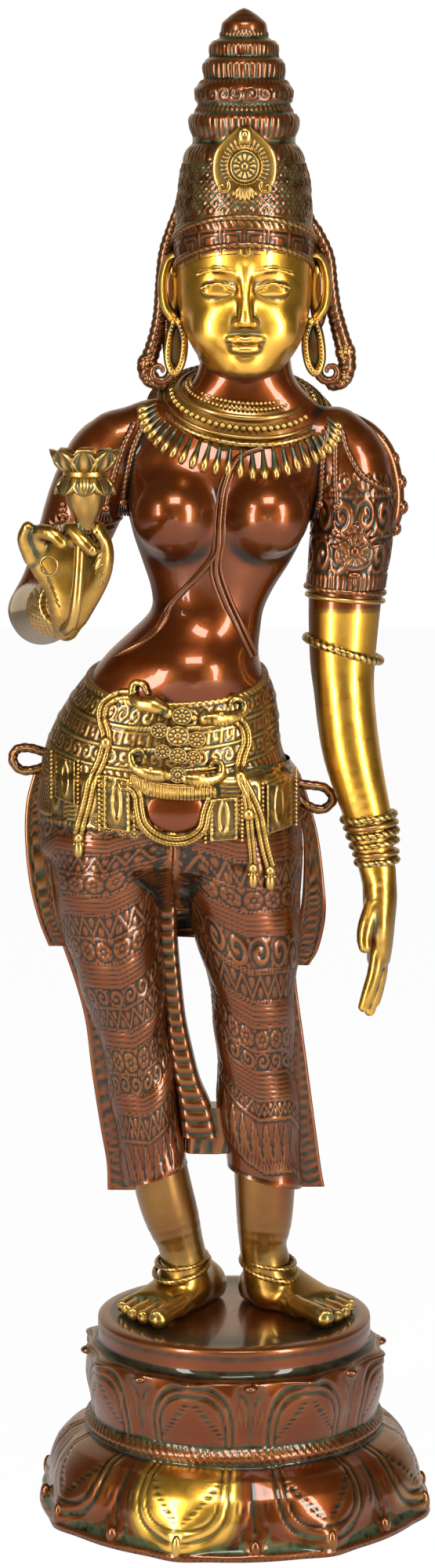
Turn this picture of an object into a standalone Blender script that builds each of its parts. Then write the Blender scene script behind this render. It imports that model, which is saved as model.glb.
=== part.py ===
"""A cast brass standing goddess on a round double lotus pedestal.

Metres, +Z up. The origin is the centre of the pedestal's underside and the figure faces -Y.
The figure is drawn in units of which its height holds DRAWN_HEIGHT, so one value resizes it.
Left and right in names are the viewer's, as seen from the front.
"""

import math

import bmesh
import bpy
import numpy as np
from mathutils import Matrix, Vector
from mathutils.bvhtree import BVHTree

# Driving dimensions, in metres
FIGURE_HEIGHT = 0.794          # soles to the tip of the crown
PEDESTAL_HEIGHT = 0.120        # floor to the top of the slab under the feet
SLAB_RADIUS = 0.0845           # round slab the feet stand on
SLAB_DEPTH = 0.017             # plain side of the slab above the upper petals
SLAB_EDGE = 0.0016             # rounding of the slab's top edge
UPPER_LOTUS_RADIUS = 0.0912    # belly of the upturned petals
UPPER_TIP_REACH = 0.0075       # how far an upturned petal's tip stands out of the belly
ROPE_HEIGHT = 0.0545           # middle of the roped moulding between the two lotuses
ROPE_RADIUS = 0.0045           # half the roped moulding's height
WAIST_RADIUS = 0.0875          # neck between the two lotuses
LOWER_LOTUS_RADIUS = 0.1170    # downturned petals at their widest, between the tips
LOWER_TIP_REACH = 0.0095       # how far a downturned petal's tip stands out
FOOT_RADIUS = 0.1205           # bottom edge that rests on the floor
FOOT_HEIGHT = 0.0045           # height of that edge
PETAL_COUNT = 8
PETAL_TURN = 28.5              # degrees from the front to the first large petal
JOINT_GAP = 0.0003             # clearance between the soles and the slab

# Resolution of the solids
VOXEL = 0.0014
FIGURE_TRIANGLES = 8000
SMOOTH_ROUNDS = 3

# The figure's drawing
DRAWN_HEIGHT = 794.0
UNIT = FIGURE_HEIGHT / DRAWN_HEIGHT

BROWN_LACQUER = (0.23, 0.07, 0.025, 1.0)


# Curves and rings

def eased_rows(rows, steps):
    """Catmull-Rom rows through the given rows, with so many steps between each two."""
    rows = np.array(rows, float)
    padded = np.vstack([2 * rows[0] - rows[1], rows, 2 * rows[-1] - rows[-2]])
    made = []
    for i in range(1, len(padded) - 2):
        a, b, c, d = padded[i - 1:i + 3]
        for k in range(steps):
            t = k / steps
            made.append(0.5 * (2 * b + (c - a) * t + (2 * a - 5 * b + 4 * c - d) * t * t
                               + (3 * b - a - 3 * c + d) * t ** 3))
    made.append(rows[-1])
    return np.array(made)


def closed_loft(rings):
    """Vertices and faces of a tube through rings of equal count, with a fan at each end."""
    count = len(rings[0])
    points = [p for ring in rings for p in ring]
    faces = []
    for r in range(len(rings) - 1):
        for k in range(count):
            n = (k + 1) % count
            faces.append((r * count + k, r * count + n, (r + 1) * count + n, (r + 1) * count + k))
    for ring_index, ring in ((0, rings[0]), (len(rings) - 1, rings[-1])):
        centre = len(points)
        points.append(np.mean(ring, axis=0))
        for k in range(count):
            n = (k + 1) % count
            faces.append((ring_index * count + k, ring_index * count + n, centre))
    return points, faces


def level_ring(row, sides, power=2.0):
    """A horizontal ring from (z, x, y, half width, front depth, back depth)."""
    z, x, y, half, front, back = row
    made = []
    for k in range(sides):
        turn = 2 * math.pi * k / sides
        c, s = math.cos(turn), math.sin(turn)
        across = math.copysign(abs(c) ** (2 / power), c)
        deep = math.copysign(abs(s) ** (2 / power), s)
        made.append((x + half * across, y + (back if s > 0 else front) * deep, z))
    return made


def level_loft(rows, steps=4, sides=40, power=2.0):
    return closed_loft([level_ring(row, sides, power) for row in eased_rows(rows, steps)])


def limb(rows, steps=3, sides=18, side_way=(1, 0, 0), round_ends=True):
    """A tube along a path. A row is (x, y, z, half width, half depth); the width lies along side_way."""
    path = eased_rows(rows, steps)
    centres = path[:, :3]
    tangents = np.gradient(centres, axis=0)
    rings = []
    for index, row in enumerate(path):
        forward = tangents[index] / np.linalg.norm(tangents[index])
        side = np.array(side_way, float)
        side -= forward * side.dot(forward)
        side /= np.linalg.norm(side)
        deep = np.cross(forward, side)
        ends = [(0.0, 1.0)]
        if round_ends and index == 0:
            ends = [(-0.9, 0.35), (-0.55, 0.8), (0.0, 1.0)]
        if round_ends and index == len(path) - 1:
            ends = [(0.0, 1.0), (0.55, 0.8), (0.9, 0.35)]
        for along, share in ends:
            reach = min(row[3], row[4])
            ring = []
            for k in range(sides):
                turn = 2 * math.pi * k / sides
                ring.append(row[:3] + forward * along * reach
                            + side * row[3] * share * math.cos(turn)
                            + deep * row[4] * share * math.sin(turn))
            rings.append(ring)
    return closed_loft(rings)


def cord(points, radius, steps=4, sides=8):
    """A round bar of even radius along a smooth path."""
    return limb([(*p, radius, radius) for p in points], steps, sides, side_way=(0.31, 0.83, 0.46))


def hoop(points, radius, sides=6):
    """A round bar along a closed path."""
    path = np.array(points, float)
    tangents = np.roll(path, -1, axis=0) - np.roll(path, 1, axis=0)
    count = len(path)
    made = []
    for p, t in zip(path, tangents):
        t = t / np.linalg.norm(t)
        side = np.cross(t, (0.31, 0.12, 0.94))
        side /= np.linalg.norm(side)
        deep = np.cross(t, side)
        for k in range(sides):
            turn = 2 * math.pi * k / sides
            made.append(p + radius * (side * math.cos(turn) + deep * math.sin(turn)))
    faces = []
    for r in range(count):
        for k in range(sides):
            n = (k + 1) % sides
            s = (r + 1) % count
            faces.append((r * sides + k, r * sides + n, s * sides + n, s * sides + k))
    return made, faces


def egg(centre, radii, turn_y=0.0, turn_x=0.0, sides=20):
    """An ellipsoid, turned about Y and then X, in degrees."""
    ball = bmesh.new()
    bmesh.ops.create_uvsphere(ball, u_segments=sides, v_segments=sides // 2, radius=1.0)
    turn = Matrix.Rotation(math.radians(turn_x), 4, "X") @ Matrix.Rotation(math.radians(turn_y), 4, "Y")
    bmesh.ops.transform(ball, verts=ball.verts, matrix=Matrix.Translation(centre) @ turn @ Matrix.Diagonal((*radii, 1)))
    ball.verts.index_update()
    made = [tuple(v.co) for v in ball.verts], [tuple(v.index for v in f.verts) for f in ball.faces]
    ball.free()
    return made


# The figure's drawing, row by row

# Hips to neck: z, x, y, half width, front depth, back depth
TORSO = [
    (262, -37, 2, 66, 38, 46), (284, -39, 2, 78, 45, 52), (310, -40.5, 2, 79.5, 47, 54),
    (335, -42, 1, 74.5, 46, 50), (356, -43, 0, 69, 45, 45), (375, -39.5, 0, 64, 43, 39),
    (390, -36, 0, 57.5, 41, 34), (403, -33.5, 0, 49.5, 40, 31), (413, -30, 0, 44.5, 37, 30),
    (424, -23.5, 0, 39, 33, 28), (437, -16.5, 0, 34, 29, 27), (450, -13.5, 0, 37, 29, 29),
    (466, -11, 0, 44.5, 31, 32), (484, -9.5, 0, 52, 33, 34), (503, -8, 1, 57, 33, 36),
    (521, -4, 2, 61, 31, 36), (536, -1, 3, 67, 28, 33), (548, 1, 4, 64, 25, 29),
    (558, 3, 4, 50, 23, 26), (567, 5, 4, 38, 23, 25), (576, 6, 3, 30, 23, 24),
    (588, 6.5, 2, 27, 23, 23), (606, 6.5, 2, 27, 23, 23),
]

# Cloth over each leg, crotch to hem: z, x, y, half width, front depth, back depth
LEFT_LEG = [
    (318, -74, 2, 40, 46, 48), (282, -78, 1, 34.5, 42, 42), (259, -76.3, 0, 32, 38, 38),
    (237, -74, -1, 30.5, 34, 35), (219, -70, -2, 28, 31, 33), (204, -67.5, -2, 26, 29, 31),
    (189, -64, 0, 24, 27, 29), (174, -61.3, 1, 22.5, 25, 28), (155, -57.5, 2, 21.5, 24, 27),
    (132, -54.7, 3, 21.5, 23, 26), (102, -50.5, 4, 20.5, 22, 24), (80, -47.5, 4, 20.5, 22, 23),
]
RIGHT_LEG = [
    (318, -2, 2, 41, 46, 48), (282, 2.5, 1, 38, 42, 42), (257, 5.8, 0, 35, 38, 38),
    (237, 8, -1, 31.7, 34, 35), (218, 10, -2, 28.4, 31, 33), (197, 11.5, -2, 25, 28, 31),
    (180, 12.1, 0, 24, 27, 29), (162, 12.8, 1, 23.8, 26, 28), (139, 14.3, 2, 24.5, 25, 27),
    (117, 15.8, 3, 24.5, 24, 26), (94, 18.5, 4, 23, 23, 24), (78, 20, 4, 22, 22.5, 23),
]
HEM_RISE = 13.0                # how much higher the hem is on the inner side of each leg

# Bare shins: x, y, z, half width, half depth
LEFT_SHIN = [(-46, 3, 108, 19, 19), (-42.5, 4, 74, 18, 18), (-38.5, 5, 58, 16.7, 17),
             (-33.5, 7, 42, 14.2, 15.5), (-31, 9, 28, 14.6, 17), (-31, 10, 14, 15.5, 19)]
RIGHT_SHIN = [(19, 3, 108, 20, 19), (19, 4, 74, 18.3, 18), (18.7, 5, 56, 17, 17),
              (17.8, 7, 41, 14.6, 15.5), (20, 9, 28, 15, 17), (23, 10, 14, 16, 19)]

# A foot's plan, heel to toe: how far along, half width, height of the instep
FOOT = [(-16, 12, 20), (-4, 15.5, 27), (12, 17, 27), (28, 18.5, 21), (42, 22, 15), (53, 24, 11)]
# Toes from the inside out: how far across, where it starts, where it ends, radius
TOES = [(-18.5, 48, 70, 6.3), (-6.5, 50, 68, 4.7), (3.5, 49, 65, 4.4), (13, 45, 59, 4.2), (21, 41, 53, 4.0)]
LEFT_HEEL, LEFT_HEADING = (-22.5, 25), -125.0
RIGHT_HEEL, RIGHT_HEADING = (21, 22), -46.0

# Bare and clad arms: x, y, z, half width, half depth
LEFT_UPPER_ARM = [(-70, 4, 536, 21, 20), (-80, 5, 524, 23, 23), (-90, 6, 500, 23.5, 23), (-100, 7, 474, 21, 21),
                  (-111, 8, 450, 18.5, 19), (-117, 7, 435, 20.5, 19.5)]
LEFT_FOREARM = [(-117, 7, 435, 20.5, 19.5), (-114.5, -14, 437, 19.5, 19), (-110, -42, 441, 16.5, 16),
                (-105, -70, 445, 13.5, 13), (-101, -88, 449, 11.5, 11), (-99, -100, 453, 11.5, 10)]
RIGHT_ARM = [(58, 3, 538, 22, 20), (68.5, 4, 524, 24.5, 23), (71.5, 5, 498, 24.5, 23), (70, 6, 474, 23.5, 22.5),
             (67, 7, 445, 22.3, 21.5), (65.6, 7, 407, 20, 20), (66.4, 5, 388, 18.4, 19.2),
             (68.3, 2, 368, 18, 18.6), (71.2, -1, 349, 17.4, 17.6), (75.8, -4, 330, 15.9, 15.8),
             (81, -6, 311, 14.2, 13.5), (85, -7, 289, 12, 11), (87, -8, 276, 10.4, 9.5)]

# The hanging hand: a palm seen edge on, a thumb and four fingers, x, y, z and radii
RIGHT_PALM = [(88, -8, 278, 10, 9.5), (88.5, -9, 262, 10.5, 13), (88.5, -9, 246, 9.3, 15.5),
              (88.5, -8, 232, 8.0, 15), (88, -8, 224, 7.2, 13)]
RIGHT_THUMB = [(84, -18, 258, 5.5, 5), (80, -22, 247, 5.3, 5), (78.5, -24, 239, 4.6, 4.4), (79, -25, 234, 4.0, 4.0)]
RIGHT_FINGERS = [
    [(87, -18, 230, 4.6, 4.4), (85, -19, 217, 4.4, 4.3), (81.5, -20, 205, 4.2, 4.0), (78.5, -20, 196, 3.4, 3.4)],
    [(89, -11, 229, 4.6, 4.4), (88, -12, 214, 4.5, 4.3), (85, -13, 202, 4.2, 4.0), (82.5, -13, 192, 3.4, 3.4)],
    [(90, -3, 229, 4.5, 4.4), (89.5, -3, 215, 4.4, 4.2), (87.5, -4, 204, 4.2, 4.0), (86, -5, 196, 3.4, 3.4)],
    [(89, 5, 230, 4.2, 4.0), (89, 5, 218, 4.1, 3.8), (88, 4, 210, 3.8, 3.6), (87, 3, 204, 3.0, 3.0)],
]

# The raised hand holds the lotus by its stem, palm to the front
LEFT_PALM = [(-98.5, -103, 436, 8, 7), (-98.5, -108, 446, 12, 7.5), (-98.5, -110, 461, 18.5, 7),
             (-98, -111, 474, 22.5, 6.5), (-98, -111, 483, 22, 6)]
LEFT_FINGERS = [
    [(-117, -112, 478, 5.0, 4.6), (-121, -115, 489, 4.4, 4.4), (-119, -118, 496, 3.8, 3.8)],
    [(-111, -112, 482, 5.0, 4.6), (-113, -118, 493, 4.6, 4.6), (-105, -124, 493, 4.3, 4.3), (-99, -126, 488, 3.6, 3.6)],
    [(-92, -112, 486, 5.0, 4.6), (-95, -119, 495, 4.6, 4.6), (-88, -125, 490, 4.5, 4.5), (-82, -127, 484, 3.8, 3.8)],
    [(-78, -111, 478, 5.4, 4.6), (-76, -114, 489, 4.6, 4.4), (-79, -117, 496, 4.0, 4.0)],
]
LEFT_THUMB = [(-79, -111, 460, 6.5, 5), (-76, -114, 474, 5.6, 5), (-77, -118, 487, 4.6, 4.4), (-81, -121, 493, 3.8, 3.8)]
LOTUS_STEM = [(-90, -123, 490), (-90.5, -125, 470), (-91.5, -125, 452), (-94, -120, 440), (-99, -112, 436)]
STEM_RADIUS = 3.3
LOTUS_CENTRE = (-86.5, -120, 526)
LOTUS_CUP = [(494, 4, 4), (499, 7.5, 7.5), (508, 9, 9), (517, 8.5, 8.5), (528, 9, 9), (536, 12, 12)]
LOTUS_PETALS = 8
LOTUS_REACH = 20.0             # from the flower's axis to a petal's tip

# Head: z, x, y, half width, front depth, back depth
HEAD = [
    (574, 6.2, -12, 8, 12, 12), (579, 6.2, -9, 19, 23, 20), (587, 6.2, -6, 26.5, 31, 28), (597, 6.2, -3, 33, 36.5, 34),
    (610, 5.8, -1, 37.8, 39, 37), (625, 5.7, 0, 40, 40, 39), (640, 5.6, 0, 40.3, 39.5, 40), (656, 5.6, 0, 40, 39, 40),
    (670, 5.4, 1, 38.5, 38, 38),
]
EYE_LEVEL, MOUTH_LEVEL = 629, 597
FACE_CENTRE = 6.0

# Crown, from the headband to the tip: z and radius
CROWN = [
    (650, 40.5), (658, 41.5), (663, 42.6), (668, 41.0), (680, 40), (692, 38.2), (702, 36.4), (709, 34.6), (714, 31),
    (718, 30), (724, 32.2), (729, 32.6), (732, 30.2), (736, 27), (740, 28.6), (746, 29.2), (749, 27.6), (752.5, 23.2),
    (757, 24.2), (762, 24), (765, 20.2), (769, 20.6), (773, 20), (776.5, 14.2), (780, 14), (785, 13.2), (789.5, 8),
    (793, 2.5),
]
CROWN_CENTRE = (5.4, 1)
HEADBAND_DROP = 17.0           # how much lower the headband is at the ears than over the brow
PLAQUE = [(683, 9, 3.0), (688, 15, 3.6), (697, 18, 4), (708, 17.5, 3.6), (717, 12, 3), (724, 5.5, 3)]

# Ears and what hangs at them, for the right side: distance out from the face's centre line, y, z
EAR = [(37, 3, 647), (42, 2, 644), (45.5, 1, 633), (44.5, 0, 620), (41, -1, 611)]
EARLOBE = [(40, -1, 611), (36.5, -2, 598), (38, -3, 585), (42.5, -3, 579), (46, -2, 587), (45, -1, 600), (42, -1, 611)]
LEFT_STRAND = [(36, 6, 700), (38.5, 8, 680), (43.5, 8, 664), (47.5, 8, 650), (49.5, 8, 632), (50.5, 8, 615), (52.5, 8, 603),
               (55.5, 8, 592), (59, 7, 581), (54.5, 5, 573.5), (47.5, 4, 572)]
RIGHT_STRAND = [(33, 6, 704), (35.5, 8, 690), (37.5, 8, 672), (43.5, 8, 661), (49.5, 8, 648), (51.5, 8, 632),
                (53.3, 8, 618), (56.5, 8, 605), (61.5, 7, 585), (57.5, 5, 573.5), (50, 4, 572)]
BACK_HAIR = [(556, 6, 18, 22, 8, 12), (578, 6, 18, 24, 9, 16), (596, 6, 17, 31, 10, 24), (612, 6, 16, 37, 10, 28),
             (650, 6, 10, 39, 10, 31)]
STRAND_RADII = [2.8, 3.2, 4, 4.5, 4.5, 4.7, 5, 5.4, 6, 5, 4]

# Bosom: centre and radius
BREASTS = [((-36.5, -24, 497), 24.5), ((19.5, -24, 493), 24.5)]

# Girdle: middle level at the sides, sag at the front, lift off the hips, bar radius
GIRDLE = [(405, 17, 0.0, 4.0), (392, 20, 0.0, 3.0), (379, 21, 0.0, 3.0), (366, 21, 0.0, 3.2), (351, 20, 0.6, 4.4)]
SKIRT_TOP, SKIRT_HEM, SKIRT_LIFT = 352, 322, 1.6
# Hanging plaques: degrees from the front, top level, bottom level, half width
PLAQUES = [(-76, 344, 306, 8), (-44, 337, 299, 8), (34, 334, 297, 8), (63, 342, 305, 8), (96, 348, 310, 8),
           (126, 351, 313, 8), (156, 352, 315, 8), (-173, 352, 315, 8), (-142, 351, 313, 8), (-110, 348, 310, 8)]
PLAQUE_LIFT = 4.4
TASSELS = [
    [(-66, 391), (-80, 386), (-86, 366), (-89, 346), (-101, 322), (-112, 301), (-116, 291)],
    [(21, 372), (27, 358), (26, 338), (33, 318), (42, 300), (47, 278), (48, 262)],
]
APRON_CENTRE, APRON_RADII = (-30, -40, 309), (14, 9, 11)
APRON_CORD = [(-60, 326), (-52, 320), (-48, 308), (-44, 298), (-30, 291), (-16, 297), (-10, 308), (-6, 318)]

# Side sashes, top to end: x of the inner edge, x of the outer edge, z
LEFT_SASH = [(-108, -122, 338), (-112, -127, 318), (-112, -128, 296), (-110, -125.5, 268), (-106, -120, 245),
             (-98, -114, 229)]
RIGHT_SASH = [(34, 40, 336), (38, 46, 318), (42, 51.5, 296), (42, 55, 268), (40, 56, 248), (36, 52, 228), (36, 46, 217)]
SASH_THICKNESS = 4.5
LEFT_BOW = [(-110, 347), (-124, 352), (-133, 351), (-136, 344), (-130, 338), (-119, 339), (-108, 345)]
RIGHT_BOW = [(33, 331), (44, 329), (55, 327), (60, 320), (54, 314), (45, 316), (34, 325)]
BOW_RADIUS = 3.2

# Loose cloth beside the shins and between the legs: x inner, x outer, z
LEFT_TAIL = [(-84, -106, 230), (-75, -97, 203), (-68, -91.5, 180), (-64, -88, 150), (-60, -83, 116), (-58, -79, 92),
             (-56, -78.5, 75)]
RIGHT_TAIL = [(26, 37, 226), (26, 38.5, 203), (26, 43, 170), (28, 47, 140), (32, 51, 110), (35, 54, 88), (37, 56, 77)]
TAIL_THICKNESS = 5.0
PLEAT = [(-50, -34, 290), (-48, -34.5, 258), (-47, -34.5, 235), (-45, -32, 205), (-42, -29.5, 184), (-40, -25.5, 165),
         (-37, -21, 147), (-34, -14, 130), (-32, -10, 112)]
PLEAT_THICKNESS = 24.0
WEB = [(-32, -4, 130), (-31, -2, 122), (-30, 0, 112), (-30, -2, 101)]
WEB_THICKNESS = 20.0

# Collar: three hoops round the neck, and the fringe of drops below them
COLLAR_HOOPS = [(33, 25, 570, 10, 2.4), (40, 28, 566, 15, 2.6), (49, 31, 561, 21, 3.2)]
COLLAR_TILT = 0.08             # the left shoulder is the higher one
DROPS = 24
DROP_RADIUS = 2.3
THREAD_LEFT = [(16, 536), (2, 530), (-6, 514), (-9, 494), (-10, 476), (-20, 462), (-36, 444), (-48, 424), (-72, 411), (-84, 408)]
THREAD_RIGHT = [(-9, 494), (-10, 476), (-11, 462), (-6, 446), (2, 428), (8, 414), (20, 404)]
THREAD_RADIUS = 2.0
SHOULDER_BEADS = [(76, 547, 4.2), (87, 539, 4.4), (95.5, 527, 4.6), (99.5, 513, 5), (100.5, 498, 5), (97, 485, 4.4)]
LEFT_BEAD_SHIFT = -5.0
SHOULDER_STRANDS = [
    [(-60, 550), (-67, 535), (-73, 516), (-77, 500)], [(-55, 548), (-61, 534), (-65, 516), (-67, 503)],
    [(56, 548), (53, 535), (52, 518), (51, 502)], [(61, 548), (60, 536), (60, 518), (61, 501)],
    [(64, 546), (67, 534), (75, 520), (85, 513), (91, 511)],
]
ARMLET_LEVEL, BANGLE_LEVEL = 446, 412


# The torso's own surface, which the belts follow

TORSO_ROWS = eased_rows(TORSO, 6)


def torso_row(level):
    return np.array([np.interp(level, TORSO_ROWS[:, 0], TORSO_ROWS[:, i]) for i in range(1, 6)])


def on_torso(turn, level, lift=0.0):
    """A point on the torso: turn 0 is the front, positive towards the viewer's right."""
    x, y, half, front, back = torso_row(level)
    s, c = math.sin(turn), math.cos(turn)
    deep = front if c > 0 else back
    return (x + (half + lift) * s, y - (deep + lift) * c, level)


# Parts of the figure

def foot(heel, heading, mirror):
    """One bare foot with five toes, pointing along heading in degrees from +X."""
    along = np.array((math.cos(math.radians(heading)), math.sin(math.radians(heading)), 0))
    across = np.array((-along[1], along[0], 0)) * mirror
    base = np.array((*heel, 0.0))
    made = []
    rings = []
    for reach, half, top in eased_rows(FOOT, 3):
        ring = []
        for k in range(20):
            turn = 2 * math.pi * k / 20
            height = top * 0.5 * (1 + math.sin(turn))
            width = half * math.cos(turn) * (1.0 if math.sin(turn) < 0 else 1 - 0.12 * math.sin(turn))
            ring.append(base + along * reach + across * width + np.array((0, 0, height)))
        rings.append(ring)
    made.append(closed_loft(rings))
    for side, start, end, radius in TOES:
        rows = []
        for reach, height, share in ((start, 1.35, 0.9), (0.5 * (start + end), 1.15, 0.95), (end, 0.95, 1.0)):
            spot = base + along * reach + across * side * (0.93 + 0.0012 * reach)
            rows.append((spot[0], spot[1], radius * height, radius * share, radius * 0.95 * share))
        made.append(limb(rows, 3, 12, side_way=across))
    return made


def flat_strip(rows, thickness, y, lean=0.0):
    """A hanging strip of cloth, drawn by its two edges as x, x, z."""
    rings = []
    for inner, outer, level in eased_rows(rows, 3):
        middle, half = 0.5 * (inner + outer), 0.5 * abs(outer - inner)
        rings.append(level_ring((level, middle, y + lean * level, half, thickness / 2, thickness / 2), 12, 4.0))
    return closed_loft(rings)


def lotus_flower():
    """Open lotus: a cup, petals that rise and petals that fall, all about one axis."""
    cx, cy, cz = LOTUS_CENTRE
    made = [closed_loft([level_ring((z, cx, cy, r, r, r), 16) for z, r, _ in LOTUS_CUP])]
    for k in range(LOTUS_PETALS):
        turn = 2 * math.pi * k / LOTUS_PETALS
        out = np.array((math.sin(turn), -math.cos(turn), 0.0))
        side = np.array((math.cos(turn), math.sin(turn), 0.0))
        for rise, half in ((16.5, 6.4), (-12.5, 6.0)):
            rows = []
            for share in (0.12, 0.4, 0.7, 1.0):
                spot = np.array((cx, cy, cz)) + out * (3 + (LOTUS_REACH - 3) * share ** 1.1)
                spot[2] += rise * share
                width = half * math.sin(math.pi * (0.22 + 0.68 * share)) + 0.6
                rows.append((*spot, width, 2.1))
            made.append(limb(rows, 2, 10, side_way=side))
    return made


def legs():
    """Cloth-covered legs with a slanting hem, shins and feet."""
    made = []
    for rows, inner in ((LEFT_LEG, 1), (RIGHT_LEG, -1)):
        rings = [level_ring(row, 32) for row in eased_rows(rows, 4)]
        hem_centre = rows[-1][1]
        last = []
        for x, y, z in rings[-1]:
            last.append((x, y, z + HEM_RISE * 0.5 * (1 + inner * (x - hem_centre) / rows[-1][3])))
        rings[-1] = last
        made.append(closed_loft(rings))
    made.append(limb(LEFT_SHIN, 3, 20, round_ends=False))
    made.append(limb(RIGHT_SHIN, 3, 20, round_ends=False))
    made += foot(LEFT_HEEL, LEFT_HEADING, -1)
    made += foot(RIGHT_HEEL, RIGHT_HEADING, 1)
    return made


def drapery_folds():
    """Raised bands that swing up towards the middle, as the cloth's pulled folds do."""
    made = []
    for rows, inner in ((LEFT_LEG, 1), (RIGHT_LEG, -1)):
        eased = eased_rows(rows, 4)[::-1]
        for level in (262, 222, 182, 146, 112):
            path = []
            for k in range(24):
                turn = 2 * math.pi * k / 24
                z = level + 12 * inner * math.sin(turn)
                x, y, half, front, back = [np.interp(z, eased[:, 0], eased[:, i]) for i in range(1, 6)]
                deep = front if math.cos(turn) > 0 else back
                path.append((x + (half + 0.2) * math.sin(turn), y - (deep + 0.2) * math.cos(turn), z))
            made.append(hoop(path, 1.9))
    return made


def loose_cloth():
    """The side sashes with their bows, the tails beside the shins, the centre pleat and the web."""
    made = [
        flat_strip(LEFT_SASH, SASH_THICKNESS, 6), flat_strip(RIGHT_SASH, SASH_THICKNESS, 6),
        flat_strip(LEFT_TAIL, TAIL_THICKNESS, 8), flat_strip(RIGHT_TAIL, TAIL_THICKNESS, 8),
        flat_strip(PLEAT, PLEAT_THICKNESS, 0), flat_strip(WEB, WEB_THICKNESS, 2),
    ]
    for bow in (LEFT_BOW, RIGHT_BOW):
        made.append(cord([(x, 4, z) for x, z in bow], BOW_RADIUS, 3, 10))
    return made


def belly_and_bosom():
    made = [egg(centre, (radius,) * 3, sides=28) for centre, radius in BREASTS]
    made.append(egg((-24, -22, 401), (27, 22, 19)))
    made.append(egg((-56, 4, 545), (30, 17, 16), turn_y=-24))
    made.append(egg((-78, 24, 316), (36, 34, 36)))
    made.append(egg((-4, 24, 316), (36, 34, 36)))
    return made


def arms():
    made = [
        limb(LEFT_UPPER_ARM, 3, 22), limb(LEFT_FOREARM, 3, 20, side_way=(0, 0, 1)),
        limb(RIGHT_ARM, 3, 22), limb(RIGHT_PALM, 3, 18), limb(RIGHT_THUMB, 3, 12), limb(LEFT_PALM, 3, 20),
        limb(LEFT_THUMB, 3, 12), cord(LOTUS_STEM, STEM_RADIUS, 4, 10),
    ]
    made += [limb(rows, 3, 12) for rows in RIGHT_FINGERS + LEFT_FINGERS]
    return made


def joined(shapes):
    """The points and faces of several shapes as one list of each."""
    points, faces = [], []
    for shape_points, shape_faces in shapes:
        start = len(points)
        points += [tuple(p) for p in shape_points]
        faces += [tuple(i + start for i in face) for face in shape_faces]
    return points, faces


# The bare body, onto whose front the ornaments are pressed
BODY = [level_loft(TORSO, 5, 48)] + belly_and_bosom() + arms() + legs()
SKIN = BVHTree.FromPolygons(*joined(BODY))


def in_front(x, level, lift=0.0):
    """The point of the body's front at a given x and level, raised by lift."""
    hit = SKIN.ray_cast(Vector((x, -300, level)), Vector((0, 1, 0)))[0]
    return (x, (hit.y if hit else 0.0) - lift, level)


def arm_rings():
    """Armlets, the elbow bangle and both sets of wrist bracelets."""
    made = []
    for centre, out, deep, tilt, radius in (
            ((67, 7, ARMLET_LEVEL), 23.5, 22.5, -2, 2.6), ((66, 7, BANGLE_LEVEL), 22.5, 22, -7, 2.6),
            ((82.5, -6, 308), 15.6, 14.8, 2, 2.8), ((84.6, -6.8, 297), 14, 13.2, 2, 2.4),
            ((86, -7.2, 287), 12.6, 12, 1, 2.4), ((-94, 6.5, 486), 25, 24, 6, 2.4), ((-104, 8, 460), 22.6, 22, 8, 2.4)):
        path = []
        for k in range(24):
            turn = 2 * math.pi * k / 24
            path.append((centre[0] + out * math.sin(turn), centre[1] - deep * math.cos(turn),
                         centre[2] + tilt * math.sin(turn)))
        made.append(hoop(path, radius))
    for share in (0.0, 0.33, 0.66, 1.0):
        centre = np.array((-105.5, -68, 444.6)) + share * np.array((4.5, -20, 4.6))
        path = []
        for k in range(20):
            turn = 2 * math.pi * k / 20
            path.append(centre + (14.6 - 2.2 * share) * np.array((math.cos(turn), 0.2 * math.sin(turn), math.sin(turn))))
        made.append(hoop(path, 2.4))
    return made


def shoulder_ornaments():
    """Strands over the front of each shoulder and the beaded line along its outer edge."""
    made = []
    for strand in SHOULDER_STRANDS:
        made.append(cord([in_front(x, z, 0.8) for x, z in strand], 2.3))
    for out in (-1, 1):
        for x, z, r in SHOULDER_BEADS:
            made.append(egg((out * x + (LEFT_BEAD_SHIFT if out < 0 else 0), 8, z), (r, r + 1, r + 1.2), sides=10))
    made.append(egg(in_front(72, 473, -2), (12, 5, 19), sides=16))
    made.append(egg(in_front(-103, 481, -2), (11, 5, 17), sides=16))
    return made


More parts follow.
